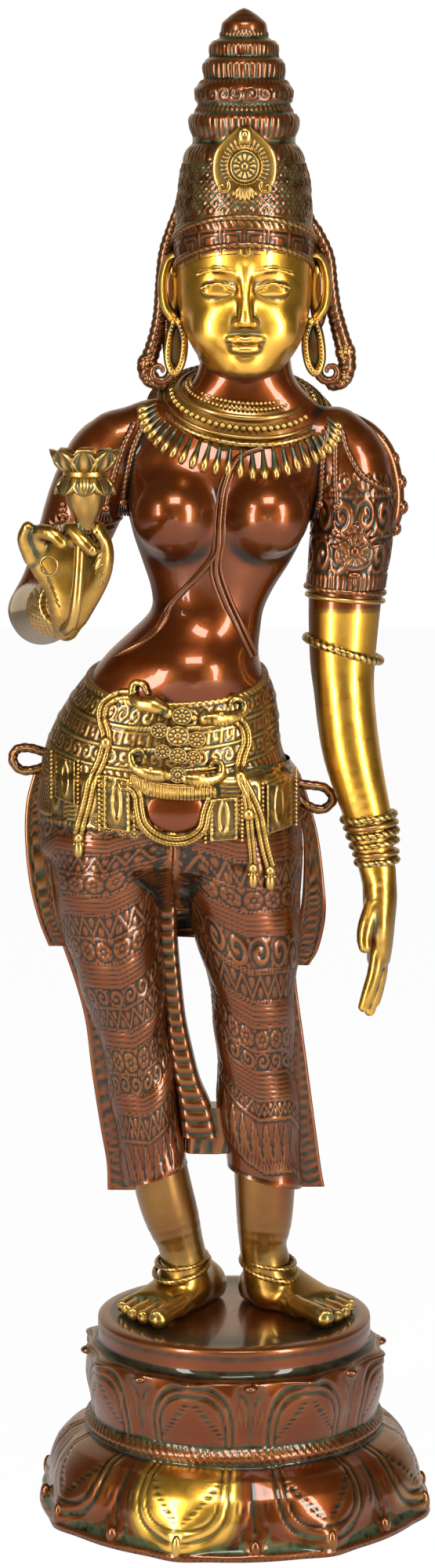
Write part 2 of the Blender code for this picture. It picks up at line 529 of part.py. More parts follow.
def head_and_ears():
    made = [level_loft(HEAD, 4, 40, 2.15)]
    made.append(limb([(FACE_CENTRE, -37, 634, 2.4, 3), (FACE_CENTRE, -41.5, 622, 3.2, 4.2), (FACE_CENTRE, -44, 611, 5, 4.6)], 3, 12))
    for side in (-1, 1):
        made.append(egg((FACE_CENTRE + side * 5.2, -41, 609.5), (3.4, 3.4, 3)))
        made.append(egg((FACE_CENTRE + side * 16.5, -33.5, EYE_LEVEL), (10.2, 4.4, 5.2)))
        path = LEFT_STRAND if side < 0 else RIGHT_STRAND
        strand = [(FACE_CENTRE + side * out, y, z, r, r) for (out, y, z), r in zip(path, STRAND_RADII)]
        made.append(limb(strand, 4, 12, side_way=(0.2, 1, 0)))
        made.append(cord([(FACE_CENTRE + side * out, y, z) for out, y, z in EAR], 3.6, 4, 10))
        made.append(cord([(FACE_CENTRE + side * out, y, z) for out, y, z in EARLOBE], 2.7, 4, 10))
        made.append(egg((FACE_CENTRE + side * 41.5, 1, 594), (4.6, 3.4, 15)))
        made.append(egg((FACE_CENTRE + side * 43.5, 4, 627), (5, 5, 16)))
        made.append(limb([(FACE_CENTRE + side * 34, 12, 664, 6.5, 16), (FACE_CENTRE + side * 34.5, 12, 690, 5, 13),
                          (FACE_CENTRE + side * 32.5, 11, 703, 3, 8)], 3, 14))
    made.append(egg((FACE_CENTRE, -38.5, MOUTH_LEVEL + 2), (10.5, 4, 2.6)))
    made.append(egg((FACE_CENTRE, -37.8, MOUTH_LEVEL - 3.2), (8, 4.2, 3.2)))
    made.append(egg((FACE_CENTRE, -30, 583), (9, 6.5, 6.5)))
    made.append(level_loft(BACK_HAIR, 3, 28))
    made.append(egg((6, 45, 640), (25, 6, 25), sides=24))
    return made


def crown():
    """Turned tiers over a headband that drops towards the ears, with a plaque in front."""
    cx, cy = CROWN_CENTRE
    rings = []
    for level, radius in CROWN:
        drop = HEADBAND_DROP * max(0.0, min(1.0, (684 - level) / 30))
        ring = []
        for k in range(48):
            turn = 2 * math.pi * k / 48
            fall = drop * min(1.0, 0.5 * (1 - math.cos(turn)) * 1.7)
            ring.append((cx + radius * math.sin(turn), cy - radius * math.cos(turn), level - fall))
        rings.append(ring)
    made = [closed_loft(rings)]
    for rise, radius in ((652.5, 40.6), (668.5, 41.6)):
        path = []
        for k in range(40):
            turn = 2 * math.pi * k / 40
            fall = HEADBAND_DROP * min(1.0, 0.5 * (1 - math.cos(turn)) * 1.7)
            path.append((cx + radius * math.sin(turn), cy - radius * math.cos(turn), rise + 3 - fall))
        made.append(hoop(path, 2.3))
    plaque = []
    for level, half, thick in PLAQUE:
        radius = np.interp(level, [z for z, _ in CROWN], [r for _, r in CROWN])
        plaque.append(level_ring((level, cx + 0.2, cy - max(radius, 33.5) - 0.6, half, thick, thick + 3), 14, 2.6))
    made.append(closed_loft(plaque))
    made.append(egg((cx + 0.2, cy - 42, 701), (7.6, 3.4, 8.4), sides=16))
    return made


def plaque_on_hip(turn, top, bottom, half):
    """A flat tab that hangs from the belt and follows the hip."""
    x, y, z = on_torso(turn, 0.5 * (top + bottom))
    row = torso_row(z)
    spread = half / math.hypot(row[2] * math.cos(turn), (row[3] if math.cos(turn) > 0 else row[4]) * math.sin(turn))
    turns = [turn + spread * (k / 3 - 1) for k in range(7)]
    rings = []
    for level in (top, 0.5 * (top + bottom), bottom):
        rings.append([on_torso(t, level, PLAQUE_LIFT) for t in turns] + [on_torso(t, level, -4) for t in turns[::-1]])
    return closed_loft(rings)


def girdle():
    """Belts that sag in front, the plaqued skirt below them, tassels and the apron's corded edge."""
    made = []
    for level, sag, lift, radius in GIRDLE:
        path = []
        for k in range(56):
            turn = 2 * math.pi * k / 56
            path.append(on_torso(turn, level - sag * (0.5 + 0.5 * math.cos(turn)) ** 1.5, lift))
        made.append(hoop(path, radius, 8))
    sides = 72
    rings = []
    for share in (0.0, 0.5, 1.0):
        ring = []
        for k in range(sides):
            turn = 2 * math.pi * k / sides
            level = SKIRT_TOP - 12 * (0.5 + 0.5 * math.cos(turn)) + (SKIRT_HEM - SKIRT_TOP) * share
            ring.append(on_torso(turn, level, SKIRT_LIFT))
        rings.append(ring)
    inner = [[on_torso(2 * math.pi * k / sides, p[2], -4.0) for k, p in enumerate(ring)] for ring in rings]
    made.append(closed_loft([inner[0], *rings, inner[-1]]))
    for degrees, top, bottom, half in PLAQUES:
        made.append(plaque_on_hip(math.radians(degrees), top, bottom, half))
    for path in TASSELS:
        made.append(cord([in_front(x, z, 3.4) for x, z in path], 2.6))
        x, z = path[-1]
        made.append(egg(in_front(x, z - 3, 3.0), (3.4, 3.4, 4.4), sides=10))
    made.append(egg(APRON_CENTRE, APRON_RADII))
    made.append(cord([in_front(x, z, 1.5) for x, z in APRON_CORD], 3.0))
    for x, z, r in ((-34, 381, 5.0), (-44, 368, 5.0), (-33, 364, 5.4), (-23, 361, 4.6), (-41, 351, 4.6), (-31, 348, 5),
                    (-21, 346, 4.6)):
        made.append(egg(in_front(x, z, 3.0), (r, 3.2, r * 0.86), sides=12))
    for x, z, way in ((-60, 394, 1), (-5, 378, -1), (-58, 347, 1), (-12, 336, -1)):
        spot = in_front(x, z, 3.0)
        made.append(egg(spot, (8.5, 4, 5), turn_y=18 * way, sides=14))
        made.append(cord([spot, (x - way * 6, spot[1] - 1, z + 6), (x - way * 3, spot[1] - 2, z + 11)], 2.1))
    return made


def collar():
    """Hoops round the neck, the fringe of drops and the sacred thread."""
    made = []
    for half, deep, level, slope, radius in COLLAR_HOOPS:
        path = []
        for k in range(44):
            turn = 2 * math.pi * k / 44
            x = half * math.sin(turn)
            path.append((5 + x, 3 - deep * math.cos(turn), level - slope * math.cos(turn) - COLLAR_TILT * x))
        made.append(hoop(path, radius, 8))
    for k in range(DROPS):
        turn = math.radians(-84 + 168 * k / (DROPS - 1))
        s, c = math.sin(turn), math.cos(turn)
        top = in_front(4 + 50 * s, 556 - 19 * c - COLLAR_TILT * 50 * s, 0.5)
        end = in_front(3 + 60 * s, 551 - 32 * c - COLLAR_TILT * 60 * s, 0.8)
        made.append(limb([(*top, 2, 2), (*end, DROP_RADIUS + 0.5, DROP_RADIUS)], 2, 8))
    shelf = []
    for half, deep, drop, level in ((26, 20, 4, 574), (40, 26.5, 12, 570), (50, 30, 20, 563), (60, 31, 27, 557), (58, 24, 26, 551)):
        shelf.append([(4 + half * math.sin(a), 3 - deep * math.cos(a),
                       level - drop * math.cos(a) - COLLAR_TILT * half * math.sin(a))
                      for a in (2 * math.pi * k / 44 for k in range(44))])
    made.append(closed_loft(shelf))
    for thread in (THREAD_LEFT, THREAD_RIGHT):
        made.append(cord([in_front(x, z, 1.2) for x, z in thread], THREAD_RADIUS))
    return made


def figure_mesh():
    """Every form of the figure in one mesh, soles at the slab's top."""
    shapes = list(BODY)
    for group in (legs, drapery_folds, loose_cloth, arm_rings, shoulder_ornaments, head_and_ears, crown, girdle,
                  collar, lotus_flower):
        shapes += group()
    points, faces = joined(shapes)
    mesh = bpy.data.meshes.new("figure")
    mesh.from_pydata(points, [], faces)
    mesh.transform(Matrix.Translation((0, 0, PEDESTAL_HEIGHT + JOINT_GAP)) @ Matrix.Scale(UNIT, 4))
    return mesh


def lacquered(name, colour):
    material = bpy.data.materials.new(name)
    material.use_nodes = True
    shader = material.node_tree.nodes["Principled BSDF"]
    shader.inputs["Base Color"].default_value = colour
    shader.inputs["Metallic"].default_value = 0.9
    shader.inputs["Roughness"].default_value = 0.32
    return material


def evaluated_copy(item):
    """The object's mesh with its modifiers applied."""
    graph = bpy.context.evaluated_depsgraph_get()
    return bpy.data.meshes.new_from_object(item.evaluated_get(graph))


def soles_cut_flat(item):
    """Drops stray specks and trims what was pushed below the soles, so that the feet stand on the slab."""
    floor = PEDESTAL_HEIGHT + JOINT_GAP
    body = bmesh.new()
    body.from_mesh(item.data)
    left = set(body.verts)
    while left:
        island, front = set(), [left.pop()]
        while front:
            vertex = front.pop()
            island.add(vertex)
            near = {e.other_vert(vertex) for e in vertex.link_edges} - island
            front += [v for v in near if v in left]
            left -= near
        if len(island) < 100:
            bmesh.ops.delete(body, geom=list(island), context="VERTS")
    cut = bmesh.ops.bisect_plane(body, geom=body.verts[:] + body.edges[:] + body.faces[:], dist=1e-7,
                                 plane_co=(0, 0, floor), plane_no=(0, 0, -1), clear_outer=True)
    edges = [e for e in cut["geom_cut"] if isinstance(e, bmesh.types.BMEdge)]
    bmesh.ops.holes_fill(body, edges=edges)
    bmesh.ops.triangulate(body, faces=body.faces[:])
    body.to_mesh(item.data)
    body.free()


def make_figure():
    """The forms fused into one skin, smoothed, and reduced to a light faceted solid."""
    figure = bpy.data.objects.new("figure", figure_mesh())
    bpy.context.scene.collection.objects.link(figure)
    fuse = figure.modifiers.new("fuse", "REMESH")
    fuse.mode = "VOXEL"
    fuse.voxel_size = VOXEL
    soften = figure.modifiers.new("soften", "SMOOTH")
    soften.iterations = SMOOTH_ROUNDS
    bpy.context.view_layer.update()
    fused = evaluated_copy(figure)
    figure.modifiers.clear()
    figure.data = fused
    reduce = figure.modifiers.new("reduce", "DECIMATE")
    reduce.ratio = FIGURE_TRIANGLES / sum(len(p.vertices) - 2 for p in fused.polygons)
    reduce.use_collapse_triangulate = True
    bpy.context.view_layer.update()
    light = evaluated_copy(figure)
    figure.modifiers.clear()
    figure.data = light
    soles_cut_flat(figure)
    figure.data.materials.clear()
    figure.data.materials.append(lacquered("figure_brass", BROWN_LACQUER))
    return figure


# The pedestal

def petal_wave(turn, sharpness):
    """1 on the middle of a large petal, 0 between two."""
    phase = PETAL_COUNT * (turn - math.radians(PETAL_TURN)) / 2
    return abs(math.cos(phase)) ** sharpness


def pedestal_profile(turn):
    """Radius and height round the pedestal at one angle, from the floor to the slab's edge."""
    tip = petal_wave(turn, 10)
    small_tip = petal_wave(turn + math.pi / PETAL_COUNT, 14)
    petal = petal_wave(turn, 0.7)
    rope_low, rope_high = ROPE_HEIGHT - ROPE_RADIUS, ROPE_HEIGHT + ROPE_RADIUS
    slab_low = PEDESTAL_HEIGHT - SLAB_DEPTH
    rise = rope_low - FOOT_HEIGHT
    swell = slab_low - rope_high
    reach = LOWER_TIP_REACH * tip
    crease = 0.0035 * (1 - petal)
    low = LOWER_LOTUS_RADIUS
    up = UPPER_LOTUS_RADIUS
    return [
        (FOOT_RADIUS + 0.4 * reach, 0.0),
        (FOOT_RADIUS + 0.002 + 0.4 * reach, 0.5 * FOOT_HEIGHT),
        (FOOT_RADIUS + 0.4 * reach, FOOT_HEIGHT),
        (low - 0.001 + reach + 0.3 * LOWER_TIP_REACH * small_tip, FOOT_HEIGHT + 0.06 * rise),
        (low - 0.001 + 0.75 * reach - 0.5 * crease, FOOT_HEIGHT + 0.18 * rise),
        (low - 0.001 - crease, FOOT_HEIGHT + 0.40 * rise),
        (low - 0.0050 - crease, FOOT_HEIGHT + 0.65 * rise),
        (low - 0.0130 - crease, FOOT_HEIGHT + 0.87 * rise),
        (WAIST_RADIUS + 0.0035, rope_low),
        (WAIST_RADIUS + ROPE_RADIUS + 0.001, ROPE_HEIGHT),
        (WAIST_RADIUS + 0.002, rope_high),
        (up - 0.001 - 0.4 * crease, rope_high + 0.14 * swell),
        (up + 0.002 - 0.5 * crease, rope_high + 0.45 * swell),
        (up + 0.001 - 0.4 * crease + 0.3 * UPPER_TIP_REACH * tip, rope_high + 0.75 * swell),
        (up - 0.001 + UPPER_TIP_REACH * tip + 0.4 * UPPER_TIP_REACH * small_tip, rope_high + 0.95 * swell),
        (SLAB_RADIUS + 0.002, slab_low - 0.0005),
        (SLAB_RADIUS, slab_low + 0.002),
        (SLAB_RADIUS, PEDESTAL_HEIGHT - SLAB_EDGE),
        (SLAB_RADIUS - SLAB_EDGE, PEDESTAL_HEIGHT),
    ]


def make_pedestal():
    """A double lotus as one solid: a ring of profiles, closed flat below and above."""
    segments = PETAL_COUNT * 8
    rings = []
    for k in range(segments):
        turn = 2 * math.pi * k / segments
        rings.append([(r * math.sin(turn), -r * math.cos(turn), z) for r, z in pedestal_profile(turn)])
    body = bmesh.new()
    columns = [[body.verts.new(p) for p in ring] for ring in rings]
    for k in range(segments):
        here, there = columns[k], columns[(k + 1) % segments]
        for low in range(len(here) - 1):
            body.faces.new((here[low], there[low], there[low + 1], here[low + 1]))
    body.faces.new([column[0] for column in columns][::-1])
    body.faces.new([column[-1] for column in columns])
    bmesh.ops.recalc_face_normals(body, faces=body.faces[:])
    mesh = bpy.data.meshes.new("pedestal")
    body.to_mesh(mesh)
    body.free()
    mesh.shade_smooth()
    mesh.set_sharp_from_angle(angle=math.radians(40))
    pedestal = bpy.data.objects.new("pedestal", mesh)
    bpy.context.scene.collection.objects.link(pedestal)
    pedestal.data.materials.append(lacquered("pedestal_brass", BROWN_LACQUER))
    return pedestal


def main():
    for item in list(bpy.data.objects):
        bpy.data.objects.remove(item)
    statue = bpy.data.objects.new("statue", None)
    bpy.context.scene.collection.objects.link(statue)
    for item in (make_pedestal(), make_figure()):
        item.parent = statue


main()
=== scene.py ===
"""The look of a cast brass standing goddess on a round double lotus pedestal.

The figure's pieces are drawn in the units of its CAD drawing: z is 0 at the soles and 794 at the
crown's tip, x grows to the viewer's right and the figure faces -y. Left and right in names are
the viewer's. emit() turns them into metres from the size of the CAD figure.
"""

import math

import bpy
import numpy as np
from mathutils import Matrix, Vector
from mathutils.bvhtree import BVHTree


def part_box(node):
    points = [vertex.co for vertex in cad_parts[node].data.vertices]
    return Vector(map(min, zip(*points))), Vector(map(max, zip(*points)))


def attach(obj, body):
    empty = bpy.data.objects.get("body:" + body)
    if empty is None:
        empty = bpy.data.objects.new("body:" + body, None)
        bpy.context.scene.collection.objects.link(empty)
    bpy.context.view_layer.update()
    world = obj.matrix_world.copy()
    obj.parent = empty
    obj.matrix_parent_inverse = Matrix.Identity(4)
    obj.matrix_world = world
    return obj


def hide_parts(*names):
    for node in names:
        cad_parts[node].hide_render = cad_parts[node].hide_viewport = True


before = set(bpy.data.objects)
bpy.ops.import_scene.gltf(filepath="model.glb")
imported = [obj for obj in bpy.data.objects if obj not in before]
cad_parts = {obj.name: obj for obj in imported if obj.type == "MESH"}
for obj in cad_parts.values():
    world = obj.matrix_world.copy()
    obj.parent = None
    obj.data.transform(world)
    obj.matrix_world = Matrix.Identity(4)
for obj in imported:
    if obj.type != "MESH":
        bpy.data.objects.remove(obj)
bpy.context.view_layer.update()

DRAWN_HEIGHT = 794.0
FIGURE_LOW, FIGURE_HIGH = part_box("figure")
UNIT = (FIGURE_HIGH.z - FIGURE_LOW.z) / DRAWN_HEIGHT
SOLES = FIGURE_LOW.z


# Rows of the drawing: z, x, y, half width, front depth, back depth

TORSO = [
    (262, -37, 2, 66, 38, 46), (284, -39, 2, 78, 45, 52), (310, -40.5, 2, 79.5, 47, 54),
    (335, -42, 1, 74.5, 46, 50), (356, -43, 0, 69, 45, 45), (375, -39.5, 0, 64, 43, 39),
    (390, -36, 0, 57.5, 41, 34), (403, -33.5, 0, 49.5, 40, 31), (413, -30, 0, 44.5, 37, 30),
    (424, -23.5, 0, 39, 33, 28), (437, -16.5, 0, 34, 29, 27), (450, -13.5, 0, 37, 29, 29),
    (466, -11, 0, 44.5, 31, 32), (484, -9.5, 0, 52, 33, 34), (503, -8, 1, 57, 33, 36),
    (521, -4, 2, 61, 31, 36), (536, -1, 3, 67, 28, 33), (548, 1, 4, 64, 25, 29),
    (558, 3, 4, 50, 23, 26), (567, 5, 4, 38, 23, 25), (576, 6, 3, 30, 23, 24),
    (588, 6.5, 2, 27, 23, 23), (606, 6.5, 2, 27, 23, 23),
]
LEFT_LEG = [
    (318, -74, 2, 40, 46, 48), (282, -78, 1, 34.5, 42, 42), (259, -76.3, 0, 32, 38, 38),
    (237, -74, -1, 30.5, 34, 35), (219, -70, -2, 28, 31, 33), (204, -67.5, -2, 26, 29, 31),
    (189, -64, 0, 24, 27, 29), (174, -61.3, 1, 22.5, 25, 28), (155, -57.5, 2, 21.5, 24, 27),
    (132, -54.7, 3, 21.5, 23, 26), (102, -50.5, 4, 20.5, 22, 24), (80, -47.5, 4, 20.5, 22, 23),
]
RIGHT_LEG = [
    (318, -2, 2, 41, 46, 48), (282, 2.5, 1, 38, 42, 42), (257, 5.8, 0, 35, 38, 38),
    (237, 8, -1, 31.7, 34, 35), (218, 10, -2, 28.4, 31, 33), (197, 11.5, -2, 25, 28, 31),
    (180, 12.1, 0, 24, 27, 29), (162, 12.8, 1, 23.8, 26, 28), (139, 14.3, 2, 24.5, 25, 27),
    (117, 15.8, 3, 24.5, 24, 26), (94, 18.5, 4, 23, 23, 24), (78, 20, 4, 22, 22.5, 23),
]
LEFT_SHIN = [(-50, 3, 108, 17, 18), (-43.5, 4, 76, 17.5, 18), (-38.5, 5, 58, 16.7, 17),
             (-33.5, 7, 42, 14.2, 15.5), (-31, 9, 28, 14.6, 17), (-31, 10, 14, 15.5, 19)]
RIGHT_SHIN = [(19, 3, 108, 20, 19), (19, 4, 74, 18.3, 18), (18.7, 5, 56, 17, 17),
              (17.8, 7, 41, 14.6, 15.5), (20, 9, 28, 15, 17), (23, 10, 14, 16, 19)]
FOOT = [(-16, 12, 20), (-4, 15.5, 27), (12, 17, 27), (28, 18.5, 21), (42, 22, 15), (53, 24, 11)]
TOES = [(-18.5, 48, 70, 6.3), (-6.5, 50, 68, 4.7), (3.5, 49, 65, 4.4), (13, 45, 59, 4.2), (21, 41, 53, 4.0)]
LEFT_UPPER_ARM = [(-70, 4, 536, 21, 20), (-80, 5, 524, 23, 23), (-90, 6, 500, 23.5, 23),
                  (-100, 7, 474, 21, 21), (-111, 8, 450, 18.5, 19), (-117, 7, 435, 20.5, 19.5)]
LEFT_FOREARM = [(-117, 7, 435, 20.5, 19.5), (-114.5, -14, 437, 19.5, 19), (-110, -42, 441, 16.5, 16),
                (-105, -70, 445, 13.5, 13), (-101, -88, 449, 11.5, 11), (-99, -100, 453, 11.5, 10)]
RIGHT_ARM = [(58, 3, 538, 22, 20), (68.5, 4, 524, 24.5, 23), (71.5, 5, 498, 24.5, 23),
             (70, 6, 474, 23.5, 22.5), (67, 7, 445, 22.3, 21.5), (65.6, 7, 407, 20, 20),
             (66.4, 5, 388, 18.4, 19.2), (68.3, 2, 368, 18, 18.6), (71.2, -1, 349, 17.4, 17.6),
             (75.8, -4, 330, 15.9, 15.8), (81, -6, 311, 14.2, 13.5), (85, -7, 289, 12, 11),
             (87, -8, 276, 10.4, 9.5)]
RIGHT_PALM = [(88, -8, 278, 10, 9.5), (88.5, -9, 262, 10.5, 13), (88.5, -9, 246, 9.3, 15.5),
              (88.5, -8, 232, 8.0, 15), (88, -8, 224, 7.2, 13)]
RIGHT_THUMB = [(84, -18, 258, 5.5, 5), (80, -22, 247, 5.3, 5), (78.5, -24, 239, 4.6, 4.4),
               (79, -25, 234, 4.0, 4.0)]
RIGHT_FINGERS = [
    [(87, -18, 230, 4.6, 4.4), (85, -19, 217, 4.4, 4.3), (81.5, -20, 205, 4.2, 4.0),
     (78.5, -20, 196, 3.4, 3.4)],
    [(89, -11, 229, 4.6, 4.4), (88, -12, 214, 4.5, 4.3), (85, -13, 202, 4.2, 4.0),
     (82.5, -13, 192, 3.4, 3.4)],
    [(90, -3, 229, 4.5, 4.4), (89.5, -3, 215, 4.4, 4.2), (87.5, -4, 204, 4.2, 4.0),
     (86, -5, 196, 3.4, 3.4)],
    [(89, 5, 230, 4.2, 4.0), (89, 5, 218, 4.1, 3.8), (88, 4, 210, 3.8, 3.6), (87, 3, 204, 3.0, 3.0)],
]
LEFT_PALM = [(-98, -103, 436, 7.5, 7), (-96, -108, 446, 11.5, 7.5), (-94.5, -110, 462, 16.5, 7.5),
             (-96.5, -111, 476, 22.5, 7), (-98, -111, 486, 23.5, 6)]
LEFT_FINGERS = [
    [(-117, -112, 478, 5.0, 4.6), (-121, -115, 489, 4.4, 4.4), (-119, -118, 496, 3.8, 3.8)],
    [(-111, -112, 482, 5.0, 4.6), (-113, -118, 493, 4.6, 4.6), (-105, -124, 493, 4.3, 4.3),
     (-99, -126, 488, 3.6, 3.6)],
    [(-92, -112, 486, 5.0, 4.6), (-95, -119, 495, 4.6, 4.6), (-88, -125, 490, 4.5, 4.5),
     (-82, -127, 484, 3.8, 3.8)],
    [(-78, -111, 478, 5.4, 4.6), (-76, -114, 489, 4.6, 4.4), (-79, -117, 496, 4.0, 4.0)],
]
LEFT_THUMB = [(-90, -108, 444, 4.5, 4.5), (-83, -111, 459, 7, 6), (-77, -113, 472, 6.5, 6),
              (-75.5, -115, 485, 5.4, 5.4), (-79.5, -119, 493.5, 3.8, 3.8)]
HEAD = [
    (574, 6.2, -12, 8, 12, 12), (579, 6.2, -9, 19, 23, 20), (587, 6.2, -6, 26.5, 31, 28),
    (597, 6.2, -3, 33, 36.5, 34), (610, 5.8, -1, 37.8, 39, 37), (625, 5.7, 0, 40, 40, 39),
    (640, 5.6, 0, 40.3, 39.5, 40), (656, 5.6, 0, 40, 39, 40), (670, 5.4, 1, 38.5, 38, 38),
]
CROWN = [
    (650, 40.5), (658, 41.5), (663, 42.6), (668, 41.0), (680, 40), (692, 38.2), (702, 36.4), (709, 34.6),
    (714, 31), (718, 30), (724, 32.2), (729, 32.6), (732, 30.2), (736, 27), (740, 28.6), (746, 29.2),
    (749, 27.6), (752.5, 23.2), (757, 24.2), (762, 24), (765, 20.2), (769, 20.6), (773, 20), (776.5, 14.2),
    (780, 14), (785, 13.2), (789.5, 8), (793, 2.5),
]
BACK_HAIR = [(556, 6, 18, 22, 8, 12), (578, 6, 18, 24, 9, 16), (596, 6, 17, 31, 10, 24),
             (612, 6, 16, 37, 10, 28), (650, 6, 10, 39, 10, 31)]
STRAND_RADII = [2.8, 3.2, 4, 4.5, 4.5, 4.7, 5, 5.4, 6, 5, 4]
LEFT_STRAND = [(36, 6, 700), (38.5, 8, 680), (43.5, 8, 664), (47.5, 8, 650), (49.5, 8, 632), (50.5, 8, 615),
               (52.5, 8, 603), (55.5, 8, 592), (59, 7, 581), (54.5, 5, 573.5), (47.5, 4, 572)]
RIGHT_STRAND = [(33, 6, 704), (35.5, 8, 690), (37.5, 8, 672), (43.5, 8, 661), (49.5, 8, 648),
                (51.5, 8, 632), (53.3, 8, 618), (56.5, 8, 605), (61.5, 7, 585), (57.5, 5, 573.5),
                (50, 4, 572)]
EAR = [(38, 3, 648), (45, 2, 646), (48.5, 1, 634), (47.5, 0, 620), (42.5, -1, 611)]
EARLOBE = [(40, -1, 611), (36.5, -2, 598), (38, -3, 585), (42.5, -3, 579), (46, -2, 587), (45, -1, 600),
           (42, -1, 611)]


# Curves

def eased_rows(rows, steps):
    """Catmull-Rom rows through the given rows, with so many steps between each two."""
    rows = np.array(rows, float)
    padded = np.vstack([2 * rows[0] - rows[1], rows, 2 * rows[-1] - rows[-2]])
    made = []
    for i in range(1, len(padded) - 2):
        a, b, c, d = padded[i - 1:i + 3]
        t = np.arange(steps)[:, None] / steps
        made.append(0.5 * (2 * b + (c - a) * t + (2 * a - 5 * b + 4 * c - d) * t * t
                           + (3 * b - a - 3 * c + d) * t ** 3))
    return np.vstack(made + [rows[-1:]])


def around(count):
    """So many even turns from 0 towards a full circle."""
    return np.linspace(0, 2 * np.pi, count + 1)[:-1]


def turns(count):
    return (2 * np.pi * np.arange(count) / count)[None, :]


def ease(low, high, value):
    t = np.clip((value - low) / (high - low), 0, 1)
    return t * t * (3 - 2 * t)


def bump(value):
    """A round bump: 1 at 0, falling to 0 at -1 and 1."""
    return np.sqrt(np.clip(1 - value * value, 0, 1))


# Modelling with a distance field

class Clay:
    """A grid of distances to a surface, filled with simple solids and then drawn as one skin."""

    def __init__(self, low, high, step):
        self.low = np.array(low, float)
        self.step = step
        shape = np.ceil((np.array(high, float) - self.low) / step).astype(int) + 1
        self.field = np.full(tuple(shape), 12.0, np.float32)

    def window(self, low, high):
        first = np.clip(np.floor((np.array(low) - self.low) / self.step).astype(int), 0, None)
        last = np.minimum(np.ceil((np.array(high) - self.low) / self.step).astype(int) + 1,
                          self.field.shape)
        if (last <= first).any():
            return None
        axes = [self.low[k] + self.step * np.arange(first[k], last[k]) for k in range(3)]
        return tuple(slice(first[k], last[k])
                     for k in range(3)), np.meshgrid(*axes, indexing="ij", sparse=True)

    def blend(self, part, d, soft, cut):
        old = self.field[part]
        if cut:
            h = np.clip(0.5 - 0.5 * (old + d) / soft, 0, 1)
            self.field[part] = old * (1 - h) - d * h + soft * h * (1 - h)
        else:
            h = np.clip(0.5 + 0.5 * (old - d) / soft, 0, 1)
            self.field[part] = old * (1 - h) + d * h - soft * h * (1 - h)

    def ball(self, centre, radii, soft=2.0, cut=False, turn=None):
        """An egg. turn is a 3 x 3 array whose rows are its own axes."""
        centre, radii = np.array(centre, float), np.array(radii, float)
        reach = np.full(3, radii.max()) + soft + 3 * self.step
        found = self.window(centre - reach, centre + reach)
        if found is None:
            return
        part, (x, y, z) = found
        q = [x - centre[0], y - centre[1], z - centre[2]]
        if turn is not None:
            q = [q[0] * row[0] + q[1] * row[1] + q[2] * row[2] for row in turn]
        far = np.sqrt(sum((q[k] / radii[k]) ** 2 for k in range(3)))
        near = np.sqrt(sum((q[k] / radii[k] ** 2) ** 2 for k in range(3)))
        self.blend(part, (far * (far - 1) / np.maximum(near, 1e-6)).astype(np.float32), soft, cut)

    def rod(self, rows, soft=2.0, side_way=(1, 0, 0), cut=False):
        """A round-ended bar through rows of x, y, z, half width, half depth; side_way is its width."""
        path = eased_rows(rows, 3)
        reach = path[:, 3:5].max() + soft + 3 * self.step
        found = self.window(path[:, :3].min(0) - reach, path[:, :3].max(0) + reach)
        if found is None:
            return
        part, _ = found
        best = np.full([s.stop - s.start for s in part], 1e3, np.float32)
        for a, b in zip(path[:-1], path[1:]):
            forward = b[:3] - a[:3]
            length = np.linalg.norm(forward)
            if length < 1e-6:
                continue
            forward = forward / length
            side = np.array(side_way, float)
            if abs(side.dot(forward)) > 0.97:
                side = side[[1, 2, 0]]
            side -= forward * side.dot(forward)
            side /= np.linalg.norm(side)
            deep = np.cross(forward, side)
            low, high = np.minimum(a[:3], b[:3]) - reach, np.maximum(a[:3], b[:3]) + reach
            near_here = self.window(low, high)
            if near_here is None:
                continue
            inner, (x, y, z) = near_here
            x, y, z = x - a[0], y - a[1], z - a[2]
            along = x * forward[0] + y * forward[1] + z * forward[2]
            t = np.clip(along / length, 0, 1)
            over = along - t * length
            u = x * side[0] + y * side[1] + z * side[2]
            v = x * deep[0] + y * deep[1] + z * deep[2]
            wide, thick = a[3] + (b[3] - a[3]) * t, a[4] + (b[4] - a[4]) * t
            least = np.minimum(wide, thick)
            far = np.sqrt((u / wide) ** 2 + (v / thick) ** 2 + (over / least) ** 2)
            near = np.sqrt((u / wide ** 2) ** 2 + (v / thick ** 2) ** 2 + (over / least ** 2) ** 2)
            d = (far * (far - 1) / np.maximum(near, 1e-6)).astype(np.float32)
            spot = tuple(slice(inner[k].start - part[k].start, inner[k].stop - part[k].start)
                         for k in range(3))
            best[spot] = np.minimum(best[spot], d)
        self.blend(part, best, soft, cut)

    def loft(self, rows, soft=2.0):
        """Level rings from rows of z, x, y, half width, front depth, back depth."""
        path = eased_rows(rows, 6)
        path = path[np.argsort(path[:, 0])]
        reach = path[:, 3:6].max() + soft + 3 * self.step
        found = self.window((path[:, 1].min() - reach, path[:, 2].min() - reach, path[0, 0] - 4),
                            (path[:, 1].max() + reach, path[:, 2].max() + reach, path[-1, 0] + 4))
        if found is None:
            return
        part, (x, y, z) = found
        cx, cy, half, front, back = (np.interp(z, path[:, 0], path[:, k]) for k in range(1, 6))
        u, v = x - cx, y - cy
        deep = np.where(v > 0, back, front)
        far = np.sqrt((u / half) ** 2 + (v / deep) ** 2)
        near = np.sqrt((u / half ** 2) ** 2 + (v / deep ** 2) ** 2)
        d = np.maximum(far * (far - 1) / np.maximum(near, 1e-6),
                       np.maximum(path[0, 0] - z, z - path[-1, 0]))
        self.blend(part, d.astype(np.float32), soft, False)

    def cut_below(self, level):
        """Flattens everything below a level."""
        z = self.low[2] + self.step * np.arange(self.field.shape[2])
        self.field = np.maximum(self.field, (level - z).astype(np.float32))

